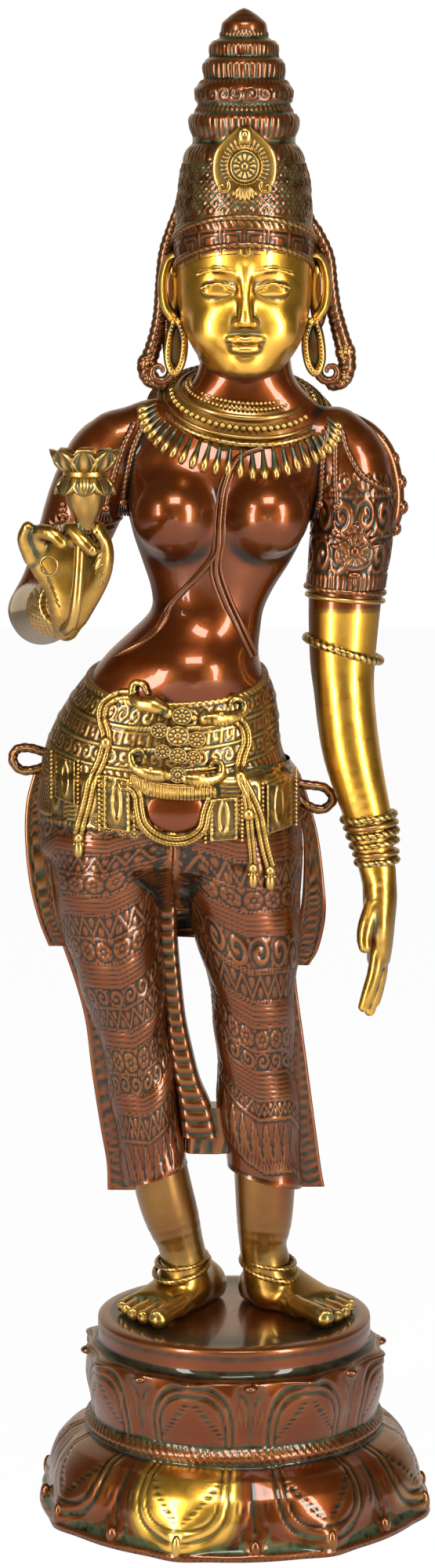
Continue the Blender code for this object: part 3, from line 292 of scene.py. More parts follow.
    def skin(self, rounds=2):
        """Points and square faces of the surface where the distance is 0."""
        f = self.field
        inside = f < 0
        total = np.zeros([n - 1 for n in f.shape], np.int8)
        corners = [(a, b, c) for a in (0, 1) for b in (0, 1) for c in (0, 1)]
        for a, b, c in corners:
            total += inside[a:f.shape[0] - 1 + a, b:f.shape[1] - 1 + b, c:f.shape[2] - 1 + c]
        spots = np.argwhere((total > 0) & (total < 8))
        number = np.full(total.shape, -1, np.int64)
        number[tuple(spots.T)] = np.arange(len(spots))
        place = np.zeros((len(spots), 3))
        count = np.zeros(len(spots))
        for a in corners:
            for axis in range(3):
                if a[axis]:
                    continue
                b = tuple(a[k] + (k == axis) for k in range(3))
                fa = f[tuple((spots + a).T)]
                fb = f[tuple((spots + b).T)]
                cross = (fa < 0) != (fb < 0)
                t = np.where(cross, fa / np.where(cross, fa - fb, 1), 0)
                place += np.where(cross[:, None],
                                  np.array(a, float) + (np.array(b, float) - a) * t[:, None], 0)
                count += cross
        points = self.low + self.step * (spots + place / count[:, None])
        faces = []
        for axis in range(3):
            u, v = (axis + 1) % 3, (axis + 2) % 3
            first = [slice(None)] * 3
            second = [slice(None)] * 3
            first[axis], second[axis] = slice(None, -1), slice(1, None)
            one, two = inside[tuple(first)], inside[tuple(second)]
            spot = np.argwhere(one != two)
            spot = spot[(spot[:, u] > 0) & (spot[:, v] > 0)
                        & (spot[:, u] < f.shape[u] - 1) & (spot[:, v] < f.shape[v] - 1)]
            out = one[tuple(spot.T)]
            quad = []
            for du, dv in ((-1, -1), (0, -1), (0, 0), (-1, 0)):
                cell = spot.copy()
                cell[:, u] += du
                cell[:, v] += dv
                quad.append(number[tuple(cell.T)])
            quad = np.stack(quad, 1)
            quad[~out] = quad[~out][:, ::-1]
            faces.append(quad)
        faces = np.vstack(faces)
        faces = faces[(faces >= 0).all(1)]
        return relax(points, faces, rounds), faces


def edges_of(faces):
    pairs = np.vstack([faces[:, [k, (k + 1) % faces.shape[1]]] for k in range(faces.shape[1])])
    pairs = np.sort(pairs[pairs[:, 0] != pairs[:, 1]], axis=1)
    return np.unique(pairs, axis=0)


def mean_of_neighbours(points, pairs, degree):
    total = np.empty_like(points)
    for k in range(points.shape[1]):
        total[:, k] = (np.bincount(pairs[:, 0], points[pairs[:, 1], k], len(points))
                       + np.bincount(pairs[:, 1], points[pairs[:, 0], k], len(points)))
    return total / np.maximum(degree, 1)[:, None]


def relax(points, faces, rounds, strength=0.5):
    """Evens out a skin without shrinking it much."""
    if not rounds:
        return points
    pairs = edges_of(faces)
    degree = np.bincount(pairs.ravel(), minlength=len(points))
    for _ in range(rounds):
        points = points + strength * (mean_of_neighbours(points, pairs, degree) - points)
        points = points - 0.53 * strength * (mean_of_neighbours(points, pairs, degree) - points)
    return points


def normals_of(points, faces):
    a, b, c = points[faces[:, 0]], points[faces[:, 1]], points[faces[:, 2]]
    d = points[faces[:, 3]] if faces.shape[1] == 4 else c
    face = np.cross(c - a, d - b) if faces.shape[1] == 4 else np.cross(b - a, c - a)
    made = np.zeros_like(points)
    for k in range(faces.shape[1]):
        for axis in range(3):
            made[:, axis] += np.bincount(faces[:, k], face[:, axis], len(points))
    return made / np.maximum(np.linalg.norm(made, axis=1), 1e-9)[:, None]


# Sheets, ropes and beads

def sheet_faces(rows, columns, closed=False):
    """Faces of a grid numbered row by row; a closed one joins its last column to its first."""
    r = np.arange(rows - 1)[:, None] * columns
    c = np.arange(columns if closed else columns - 1)[None, :]
    n = (c + 1) % columns
    return np.stack([r + c, r + n, r + columns + n, r + columns + c], -1).reshape(-1, 4)


def sheet_normals(grid, closed=False):
    if closed:
        across = np.roll(grid, -1, 1) - np.roll(grid, 1, 1)
    else:
        across = np.gradient(grid, axis=1)
    down = np.gradient(grid, axis=0)
    n = np.cross(across, down)
    return n / np.maximum(np.linalg.norm(n, axis=2), 1e-9)[..., None]


def frames_along(path, side_way=(0.31, 0.83, 0.46), closed=False):
    """Unit forward, side and deep vectors at each point of a path."""
    if closed:
        forward = np.roll(path, -1, 0) - np.roll(path, 1, 0)
    else:
        forward = np.gradient(path, axis=0)
    forward /= np.maximum(np.linalg.norm(forward, axis=1), 1e-9)[:, None]
    side = np.array(side_way, float) - forward * (forward @ np.array(side_way, float))[:, None]
    side /= np.linalg.norm(side, axis=1)[:, None]
    return forward, side, np.cross(forward, side)


class Bag:
    """Many small meshes gathered into one piece, each with how golden and how green it is."""

    def __init__(self):
        self.points, self.faces, self.gold, self.green = [], [], [], []
        self.count = 0

    def add(self, points, faces, gold=0.0, green=0.0):
        points = np.asarray(points, float).reshape(-1, 3)
        faces = np.asarray(faces, np.int64)
        if faces.shape[1] == 3:
            faces = np.hstack([faces, faces[:, 2:3]])
        self.points.append(points)
        self.faces.append(faces + self.count)
        self.gold.append(np.broadcast_to(np.asarray(gold, float).ravel(), (len(points),)))
        self.green.append(np.broadcast_to(np.asarray(green, float).ravel(), (len(points),)))
        self.count += len(points)

    def grid(self, grid, gold=0.0, green=0.0, closed=False, flip=False):
        faces = sheet_faces(grid.shape[0], grid.shape[1], closed)
        if flip:
            faces = faces[:, ::-1]
        points = grid.reshape(-1, 3)
        out = points[faces].mean(1) - points.mean(0)
        face = np.cross(points[faces[:, 2]] - points[faces[:, 0]],
                        points[faces[:, 3]] - points[faces[:, 1]])
        total = (out * face).sum()
        if closed and total < -0.05 * (np.linalg.norm(out, axis=1) * np.linalg.norm(face, axis=1)).sum():
            faces = faces[:, ::-1]
        self.add(points, faces, gold, green)

    def tube(self, path, radius, sides=8, closed=False, twist=0.0, pitch=5.0, gold=0.0, green=0.0):
        """A bar along points. With a twist its strands stand out by that share of its radius."""
        path = np.asarray(path, float)
        forward, side, deep = frames_along(path, closed=closed)
        radius = np.broadcast_to(np.asarray(radius, float), (len(path),))
        step = np.linalg.norm(np.diff(path, axis=0), axis=1)
        length = np.concatenate([[0], np.cumsum(step)])
        turn = 2 * np.pi * np.arange(sides) / sides
        swell = 1 + twist * (np.abs(np.cos(turn[None] - np.pi * length[:, None] / pitch)) - 0.6)
        ring = side[:, None] * np.cos(turn)[None, :, None] + deep[:, None] * np.sin(turn)[None, :, None]
        grid = path[:, None] + ring * (radius[:, None] * swell)[..., None]
        faces = sheet_faces(len(path), sides, True)
        last = (len(path) - 1) * sides
        c = np.arange(sides)
        n = (c + 1) % sides
        if closed:
            self.add(grid, np.vstack([faces, np.stack([last + c, last + n, n, c], 1)]), gold, green)
            return
        near, far = np.full(sides, last + sides), np.full(sides, last + sides + 1)
        fans = [np.stack([n, c, near, near], 1), np.stack([last + c, last + n, far, far], 1)]
        caps = [path[0] - forward[0] * radius[0] * 0.5, path[-1] + forward[-1] * radius[-1] * 0.5]
        self.add(np.vstack([grid.reshape(-1, 3), caps]), np.vstack([faces, *fans]), gold, green)

    def egg(self, centre, radii, sides=10, gold=0.0, green=0.0, turn=None):
        t = np.linspace(0, np.pi, sides // 2 + 1)[:, None]
        a = turns(sides)
        grid = np.stack([np.sin(t) * np.cos(a), np.sin(t) * np.sin(a), -np.cos(t) + 0 * a],
                        -1) * np.array(radii)
        if turn is not None:
            grid = grid @ np.array(turn)
        self.grid(grid + np.array(centre), gold, green, True)

    def chain(self, path, radius, pitch, sides=8, gold=0.0, green=0.0):
        """Beads at even steps along points."""
        for p in evenly(path, pitch):
            self.egg(p, (radius,) * 3, sides, gold, green)

    def join(self):
        return (np.vstack(self.points), np.vstack(self.faces), np.concatenate(self.gold),
                np.concatenate(self.green))


def evenly(path, pitch):
    """Points at even steps along a path."""
    path = np.asarray(path, float)
    length = np.concatenate([[0], np.cumsum(np.linalg.norm(np.diff(path, axis=0), axis=1))])
    count = max(2, int(round(length[-1] / pitch)) + 1)
    at = np.linspace(0, length[-1], count)
    return np.stack([np.interp(at, length, path[:, k]) for k in range(3)], 1)


# Turning points into a piece

def emit(name, bag, node, material, contrast):
    """Makes one object of a bag, with marks for the finish: gold, green and how raised each point is; from
    the last the material paints shade where it is sunk and lightens what stands out, partly as rubbed wear
    and partly as painted highlight.
    """
    points, faces, gold, green = bag.join()
    pairs = edges_of(faces)
    degree = np.bincount(pairs.ravel(), minlength=len(points))
    normal = normals_of(points, faces)
    soft = points
    depth = np.zeros(len(points))
    for k in range(14):
        soft = soft + 0.6 * (mean_of_neighbours(soft, pairs, degree) - soft)
        if k == 2:
            depth += 1.1 * ((points - soft) * normal).sum(1)
    depth += 0.7 * ((points - soft) * normal).sum(1)
    broad = depth[:, None]
    for _ in range(34):
        broad = broad + 0.7 * (mean_of_neighbours(broad, pairs, degree) - broad)
    # contrast scales the depth mark, and with it the painted shade in recesses and the painted highlight on
    # raised points
    depth = contrast * (depth - 0.9 * broad[:, 0])
    world = points * UNIT
    world[:, 2] += SOLES
    mesh = bpy.data.meshes.new(name)
    same = faces[:, 2] == faces[:, 3]
    quads, tris = faces[~same], faces[same][:, :3]
    loops = np.concatenate([quads.ravel(), tris.ravel()]).astype(np.int32)
    sizes = np.concatenate([np.full(len(quads), 4), np.full(len(tris), 3)]).astype(np.int32)
    starts = np.concatenate([[0], np.cumsum(sizes)[:-1]]).astype(np.int32)
    mesh.vertices.add(len(world))
    mesh.vertices.foreach_set("co", world.astype(np.float32).ravel())
    mesh.loops.add(len(loops))
    mesh.loops.foreach_set("vertex_index", loops)
    mesh.polygons.add(len(sizes))
    mesh.polygons.foreach_set("loop_start", starts)
    mesh.polygons.foreach_set("loop_total", sizes)
    mesh.polygons.foreach_set("use_smooth", np.ones(len(sizes), bool))
    mesh.update(calc_edges=True)
    mesh.validate()
    for label, values in (("gold", gold), ("green", green), ("depth", depth)):
        mark = mesh.attributes.new(label, "FLOAT", "POINT")
        mark.data.foreach_set("value", np.asarray(values, np.float32))
    piece = bpy.data.objects.new(name, mesh)
    bpy.context.scene.collection.objects.link(piece)
    mesh.materials.append(material)
    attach(piece, "root")
    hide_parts(node)


# Carved patterns. Each takes where a point lies in its own square of a band: a across and b up,
# both from -1 to 1, the square's number, and the band's pitch and height in millimetres.

def pleats(a, b, n, pitch, tall):
    return np.abs(np.cos(0.5 * np.pi * a)) ** 0.6 * (0.75 + 0.25 * np.sin(1.7 * n + 2 * b))


def swells(a, b, n, pitch, tall):
    ribs = max(2, round(tall / 3.1))
    drift = 0.35 * np.sin(0.9 * (n + 0.5 * a)) + 0.2 * np.sin(2.3 * (n + 0.5 * a))
    return 0.75 * bump(0.95 * b) + 0.5 * np.abs(np.cos(0.5 * np.pi * (b + 0.12 * drift) * ribs)) ** 0.8


def beads(a, b, n, pitch, tall):
    return bump(np.hypot(a, b))


def rope(a, b, n, pitch, tall):
    return bump(0.95 * b) * (0.35 + 0.65 * np.abs(np.cos(0.5 * np.pi * (a + 0.9 * b))))


def line(a, b, n, pitch, tall):
    return bump(b)


def leaf(a, b, wide, tall):
    body = np.clip(1.15 - (a / wide) ** 2 - (b / tall) ** 2, 0, 1)
    return body * (0.55 + 0.45
                   * np.abs(np.cos(9 * b + 6 * np.abs(a)))) * np.clip(np.abs(a) / (0.12 * wide), 0.3, 1)


def zigzag(a, b, n, pitch, tall):
    peak = 0.85 - 1.7 * np.abs(a)
    edge = np.clip(1.2 - np.abs(b - peak) / 0.24, 0, 1)
    under = np.where(b < peak - 0.2, leaf(a, b + 0.45, 0.34, 0.5), 0)
    over = np.where(b > peak + 0.2, leaf(1 - np.abs(a), b - 0.45, 0.34, 0.5), 0)
    return np.maximum(edge, np.maximum(under, over))


def flowers(a, b, n, pitch, tall):
    r, t = np.hypot(a, b), np.arctan2(b, a)
    petals = np.clip((0.95 - r) / 0.12, 0,
                     1) * (0.35 + 0.65 * np.abs(np.cos(3 * t + n))) * ease(0.22, 0.5, r)
    boss = np.clip(1 - (r / 0.27) ** 2, 0, 1)
    corner = np.clip(1 - np.hypot(1 - np.abs(a), 1 - np.abs(b)) / 0.42, 0, 1)
    return np.maximum(np.maximum(petals, boss), corner * 0.8)


def scrolls(a, b, n, pitch, tall):
    way = np.where(n % 2 < 1, 1.0, -1.0)
    r, t = np.hypot(a, b * 0.95), np.arctan2(b * way, a)
    coil = np.clip(0.5 + 0.9 * np.cos(t - 8.5 * r), 0, 1) * np.clip((1.02 - r) / 0.12, 0, 1)
    stem = np.clip(1.1 - np.abs(b - way * 0.85 * (0.5 + 0.5 * np.abs(a))) / 0.2, 0, 1)
    return np.maximum(coil, 0.8 * (stem * ease(0.5, 0.9, np.abs(a))))


def strokes(a, b, n, pitch, tall):
    return np.abs(np.cos(0.5 * np.pi * (a + 0.55 * b * b))) ** 0.7 * np.clip((1.05 - np.abs(b)) * 4, 0, 1)


def knots(a, b, n, pitch, tall):
    one = np.clip(1.1 - np.abs(b - 0.75 * np.sin(np.pi * a)) / 0.3, 0, 1)
    two = np.clip(1.1 - np.abs(b + 0.75 * np.sin(np.pi * a)) / 0.3, 0, 1)
    return np.maximum(one, two)


def meander(a, b, n, pitch, tall):
    key = (np.abs(a) > 0.8) | ((b > 0.45) & (b < 0.8))
    key |= (np.abs(a + 0.15) < 0.16) & (b > -0.5) & (b < 0.5)
    key |= (np.abs(b + 0.45) < 0.18) & (a > -0.3) & (a < 0.5)
    rim = np.abs(b) > 0.88
    return np.where(key, 0.8, 0.0) + np.where(rim & ~key, 0.7, 0.0)


def flames(a, b, n, pitch, tall):
    edge = 0.95 - 1.5 * np.abs(a) ** 1.5
    inside = np.clip((edge - b) / 0.12, 0, 1)
    return inside * (0.4 + 0.6 * np.abs(np.cos(7 * (edge - b) * (0.35 + 0.65 * np.abs(a)))))


def panels(a, b, n, pitch, tall):
    rim = np.maximum(np.abs(a), np.abs(b))
    outer = np.clip(1.3 - np.abs(rim - 0.82) / 0.1, 0, 1)
    inner = np.clip(1.3 - np.abs(rim - 0.52) / 0.1, 0, 1)
    return np.maximum(outer, 0.8 * inner)


def net(a, b, n, pitch, tall):
    rows = max(1.0, tall / pitch)
    u, v = 0.5 * (a + b * rows), 0.5 * (a - b * rows)
    du, dv = np.abs(u - np.round(u)), np.abs(v - np.round(v))
    cord = np.clip(1.2 - np.minimum(du, dv) / 0.09, 0, 1)
    return np.maximum(cord, 0.9 * bump(np.hypot(du - 0.5, dv - 0.5) / 0.27))


def relief(along, down, bands):
    """Height and gold of bands under each other: height, pattern, pitch, how far they stand out, gold."""
    height, gold = np.zeros_like(along), np.full_like(along, np.nan)
    top = 0.0
    for tall, pattern, pitch, amount, shine in bands:
        inside = (down >= top) & (down < top + tall)
        if inside.any():
            n = np.floor(along[inside] / pitch)
            a = 2 * (along[inside] / pitch - n) - 1
            b = 1 - 2 * (down[inside] - top) / tall
            height[inside] = amount * pattern(a, b, n, pitch, tall)
            gold[inside] = shine
        top += tall
    return height, np.nan_to_num(gold, nan=bands[-1][4])


# The body's own surface

TORSO_ROWS = eased_rows(TORSO, 6)


def rows_at(rows, level):
    return [np.interp(level, rows[:, 0], rows[:, k]) for k in range(1, 6)]


def on_torso(turn, level, lift=0.0):
    """Points on the torso: turn 0 is the front, positive towards the viewer's right."""
    x, y, half, front, back = rows_at(TORSO_ROWS, level)
    s, c = np.sin(turn), np.cos(turn)
    deep = np.where(c > 0, front, back)
    return np.stack([x + (half + lift) * s, y - (deep + lift) * c, level + 0 * turn], -1)


def upper_body():
    clay = Clay((-146, -58, 356), (112, 48, 606), 2.2)
    clay.loft(TORSO, 0.5)
    clay.ball((-56, 4, 545), (30, 17, 16), 6, turn=[(0.914, 0, 0.407), (0, 1, 0), (-0.407, 0, 0.914)])
    clay.ball((54, 4, 540), (24, 16, 14), 6)
    clay.rod(LEFT_UPPER_ARM, 5)
    clay.rod(RIGHT_ARM, 5)
    clay.ball((-24, -22, 401), (27, 22, 19), 12)
    for x in (-36.5, 19.5):
        clay.ball((x + (2 if x < 0 else -1), -12, 515), (23, 17, 22), 16)
        clay.ball((x, -24, 496), (25, 24.5, 25), 8)
        clay.ball((x, -46.6, 496), (3.1, 3.0, 3.1), 1.2)
    clay.ball((-24, -43.5, 396), (2.4, 2.2, 2.2), 1.0)
    return clay.skin(3)


body_points, body_faces = upper_body()
body = Bag()
low_arm = (body_points[:, 0] > 42) & (body_points[:, 2] < 360)
under = (body_points[:, 2] < 352) | low_arm
arm_gold = 0.92 * ease(46, 54, body_points[:, 0]) * ease(440, 434, body_points[:, 2])
body.add(body_points, body_faces[~under[body_faces].all(1)], arm_gold)


# The cloth over each leg

def reach_from(px, py, dx, dy, shape):
    """How far a level ray goes from inside a ring before it leaves it."""
    x, y, half, front, back = shape
    low, high = np.zeros_like(dx), np.full_like(dx, 160.0)
    for _ in range(22):
        middle = 0.5 * (low + high)
        u, v = px + dx * middle - x, py + dy * middle - y
        out = (u / half) ** 2 + (v / np.where(v > 0, back, front)) ** 2 > 1
        high = np.where(out, middle, high)
        low = np.where(out, low, middle)
    return low


def smooth_most(a, b, soft):
    h = np.clip(0.5 + 0.5 * (a - b) / soft, 0, 1)
    return a * h + b * (1 - h) + soft * h * (1 - h)


CLOTH_TOP = 346
BANDS_FROM = 344
BETWEEN_LEGS = -37.0
# How much higher the cloth's bands run at each angle round a leg
RISE = [(-180, 12), (-140, 0), (-80, -12), (-50, 0), (0, 0), (30, 8), (60, 22), (85, 34), (120, 30),
        (150, 20), (180, 12)]
BEADED = (2, beads, 2.2, 0.6, 0.4)
FINE_BEADED = (2, beads, 2.2, 0.5, 0.4)
LEFT_BANDS = [
    (24, swells, 9, 0.5, 0.2), FINE_BEADED, (13, scrolls, 10, 0.5, 0.35), FINE_BEADED,
    (9, swells, 9, 0.6, 0.2), BEADED, (10, zigzag, 9, 0.6, 0.35), BEADED,
    (11, flowers, 10, 0.6, 0.35), BEADED, (11, swells, 9, 0.6, 0.15), BEADED,
    (13, zigzag, 10, 0.6, 0.35), BEADED, (13, flowers, 11, 0.6, 0.35), (2, strokes, 2.2, 0.5, 0.4),
    (15, swells, 9, 0.65, 0.15), (12, scrolls, 10, 0.6, 0.4), BEADED,
    (12, zigzag, 10, 0.6, 0.4), (2, beads, 2.2, 0.6, 0.45), (10, swells, 9, 0.65, 0.3),
    (2, beads, 2.2, 0.6, 0.45), (14, flowers, 11, 0.65, 0.5), (2, beads, 2.2, 0.6, 0.5),
    (12, scrolls, 10, 0.6, 0.5), (12, swells, 9, 0.6, 0.4), (2, beads, 2.2, 0.6, 0.5),
    (15, zigzag, 10, 0.6, 0.55), (2, beads, 2.2, 0.6, 0.6), (34, flames, 9, 0.6, 0.6),
]
RIGHT_BANDS = [
    (27, swells, 9, 0.5, 0.2), FINE_BEADED, (10, scrolls, 10, 0.5, 0.35), FINE_BEADED,
    (13, swells, 9, 0.6, 0.2), BEADED, (15, zigzag, 10, 0.6, 0.35), BEADED,
    (12.5, flowers, 11, 0.6, 0.35), BEADED, (12.5, swells, 9, 0.6, 0.15),
    (2, line, 2.2, 0.4, 0.3), (20, scrolls, 13, 0.6, 0.35), BEADED, BEADED,
    (16, zigzag, 11, 0.6, 0.4), (2.5, beads, 2.4, 0.6, 0.4), (13, swells, 9, 0.65, 0.3),
    (3, line, 3, 0.5, 0.4), (13, flowers, 11, 0.65, 0.45), (2, line, 2, 0.5, 0.5),
    (11.5, scrolls, 11, 0.6, 0.5), (3, line, 3, 0.5, 0.5), (15, swells, 9, 0.65, 0.4),
    (2, line, 2, 0.5, 0.5), (9, zigzag, 9, 0.6, 0.55), (3, line, 3, 0.5, 0.6), (34, flames, 9, 0.6, 0.6),
]


def leg_cloth(rows, inner, bands):
    leg = eased_rows(rows, 5)[::-1]
    front = np.arange(-100, 100.01, 1.6)
    rear = np.arange(104.5, 256, 5.2)
    degrees = np.concatenate([front, rear])
    turn = np.radians(degrees)[None, :]
    s, c = np.sin(turn), np.cos(turn)
    hem = rows[-1][0] + 6.5 * (1 + inner * s)
    share = np.linspace(0, 1, 262)[:, None]
    level = CLOTH_TOP + (hem - CLOTH_TOP) * share
    shape = rows_at(leg, level)
    px, py = shape[0], shape[1]
    dx, dy = s + 0 * level, -c + 0 * level
    own = reach_from(px, py, dx, dy, shape)
    waist = ease(232, 292, level)
    tx, ty, half, deep_front, deep_back = rows_at(TORSO_ROWS, np.maximum(level, 262))
    trunk = reach_from(px, py, dx, dy, (tx, ty, half * (0.3 + 0.7 * waist), deep_front * waist + 1e-3,
                                        deep_back * waist + 1e-3))
    seat_x = -78 if inner > 0 else -4
    thick = np.sqrt(np.clip(1 - ((level - 316) / 36) ** 2, 1e-6, 1))
    seat = reach_from(px, py, dx, dy, (seat_x, 24, 36 * thick, 34 * thick, 34 * thick))
    reach = smooth_most(smooth_most(own, trunk, 5), seat, 4)
    inside = np.where(level > 255, (BETWEEN_LEGS - px) / np.where(np.abs(dx) > 1e-3, dx, 1e-3), 1e3)
    inside = np.where(inside > 0, inside, 1e3)
    reach = np.minimum(reach, inside)
    grid = np.stack([px + dx * reach, py + dy * reach, level], -1)
    signed = (degrees + 180) % 360 - 180
    rise = np.interp(inner * signed, *zip(*RISE))[None, :]
    down = BANDS_FROM - (level - rise)
    along = np.radians(degrees)[None, :] * 32 + 0 * level
    height, gold = relief(along, down, bands)
    line_at = 306 + 3 * c - 4 * inner * s
    above = ease(line_at - 0.8, line_at + 0.8, level)
    reach_in = 7 * ease(336, 346, level)
    u = along / 19
    u = 2 * (u - np.floor(u)) - 1
    v = 1 - (level - line_at) / 17
    plate = np.where(np.maximum(np.abs(u) / 0.8, np.abs(v)) < 1, 1.0, 0.0)
    notches = 0.5 + 0.5 * np.cos(2.2 * level) * np.cos(60 * u)
    rim = plate * ((np.abs(u) > 0.56) | (np.abs(v) > 0.82)) * notches
    loop = plate * np.exp(-((np.hypot(u / 0.3, (v + 0.1) / 0.55) - 1) / 0.25) ** 2)
    string = (1 - plate) * np.abs(np.cos(1.2 * level)) * ease(1, 0.85, np.abs(v))
    height = height * (1 - above) + above * (0.4 * plate + 0.5 * rim + 0.7 * loop + 0.9 * string)
    height = height + 1.6 * np.exp(-((level - line_at) / 1.1) ** 2) * np.abs(np.cos(along)) - reach_in
    gold = gold * 0.14 * (1 - above) + above * 0.36 * (0.3 + 0.7 * ease(-0.1, 0.85, c))
    green = 0.08 + 0.3 * above
    edge = ease(0, 0.01, 1 - share)
    swing = 0.8 * np.sin(down / 8.5 + 2.2 * s) * ease(300, 280, level)
    grid = grid - sheet_normals(grid, True) * ((height * 0.75 + swing) * edge)[..., None]
    bag = Bag()
    bag.grid(grid, gold + 0 * level, green + 0 * level, True, flip=True)
    hem_ring = grid[-1]
    inward = hem_ring.copy()
    centre = hem_ring.mean(0)
    inward[:, :2] = centre[:2] + (hem_ring[:, :2] - centre[:2]) * 0.86
    bag.grid(np.stack([hem_ring, inward, inward + (0, 0, 9)]), 0.2, 0.3, True, flip=True)
    return bag


left_cloth = leg_cloth(LEFT_LEG, 1, LEFT_BANDS)
right_cloth = leg_cloth(RIGHT_LEG, -1, RIGHT_BANDS)


# The girdle round the hips

def sag(turn):
    return 24 * (0.5 + 0.5 * np.cos(turn)) ** 1.5


GIRDLE_BANDS = [
    (3.5, rope, 4, 1.2, 0.45), (11, scrolls, 8, 0.5, 0.33), (2.6, beads, 2.2, 1.1, 0.5),
    (10, meander, 8, 0.45, 0.33), (2.6, beads, 2.2, 1.1, 0.5), (10, scrolls, 8, 0.5, 0.33),
    (2.6, beads, 2.2, 1.1, 0.5), (9.5, strokes, 4, 0.6, 0.33), (4.7, knots, 5, 1.0, 0.45),
    (34, strokes, 3.2, 0.7, 0.3),
]


def girdle():
    degrees = np.concatenate([np.arange(-100, 100.01, 1.0), np.arange(103, 258, 3.2)])
    turn = np.radians(degrees)[None, :]
    drop = np.concatenate([np.linspace(-1.6, 56.5, 84), np.linspace(57.2, 91, 30)])[:, None]
    level = 409.5 - drop - sag(turn) * (1 - 0.5 * ease(50, 88, drop))
    lift = np.where(drop < 0, 0.3 + drop * 1.2,
                    1.6) - 0.9 * ease(56, 58, drop) + 0.2 * ease(88, 91, drop) * -8
    grid = on_torso(turn, level, lift)
    height, gold = relief(turn * 62 + 0 * drop, drop + 0 * turn, GIRDLE_BANDS)
    height = height * ease(-1, 0, drop) * ease(91, 90, drop)
    fade = 0.35 + 0.65 * ease(-0.1, 0.85, np.cos(turn))
    grid = grid - sheet_normals(grid, True) * height[..., None]
    bag = Bag()
    bag.grid(grid, gold * fade, 0.2 + 0.5 * ease(0.5, -0.2, np.cos(turn)) + 0 * drop, True, flip=True)
    return bag


belt = girdle()


# Anything pressed onto the front of the body finds its depth here

def met(tree, x, level, default):
    """How far back a surface lies where something comes straight at it from the front."""
    hit = tree.ray_cast(Vector((x, -300, level)), Vector((0, 1, 0)))[0]
    return hit.y if hit else default


def surface(points, faces):
    return BVHTree.FromPolygons(points.tolist(), [tuple(dict.fromkeys(q)) for q in faces.tolist()])


def tree_of(*bags):
    points, faces, start = [], [], 0
    for bag in bags:
        p, f, _, _ = bag.join()
        points.append(p)
        faces.append(f + start)
        start += len(p)
    return surface(np.vstack(points), np.vstack(faces))


SKIN = tree_of(body, left_cloth, right_cloth, belt)


def front_y(x, level, default=0.0):
    return met(SKIN, x, level, default)


def in_front(points, lift=0.0):
    """The points of the body's front at each x and level, raised by lift."""
    return np.array([(x, front_y(x, z) - lift, z) for x, z in points])


def laid(points, lift, steps=6):
    """A smooth path through x and level, laid on the body's front."""
    made = in_front(eased_rows(points, steps), lift)
    for _ in range(2):
        made[1:-1, 1] = 0.5 * made[1:-1, 1] + 0.25 * (made[:-2, 1] + made[2:, 1])
    return made


# Head and neck

FACE = 6.0
EYES = 629
# Lids and the slit between them: places across, span, how near, bow, rise, dip, size, soft, cut
EYE_LINES = [
    ((-10, -6, -2, 2, 6, 10), 10, -36.4, 1.3, 3.8, -3.0, 0.8, 0.8, False),
    ((-9, -4, 0, 4, 9), 10, -36.2, 1.2, -2.9, 2.2, 0.6, 0.8, False),
    ((-8, -4, 0, 4, 8), 9, -38.2, 0.9, -1.0, 1.0, 0.55, 0.5, True),
]


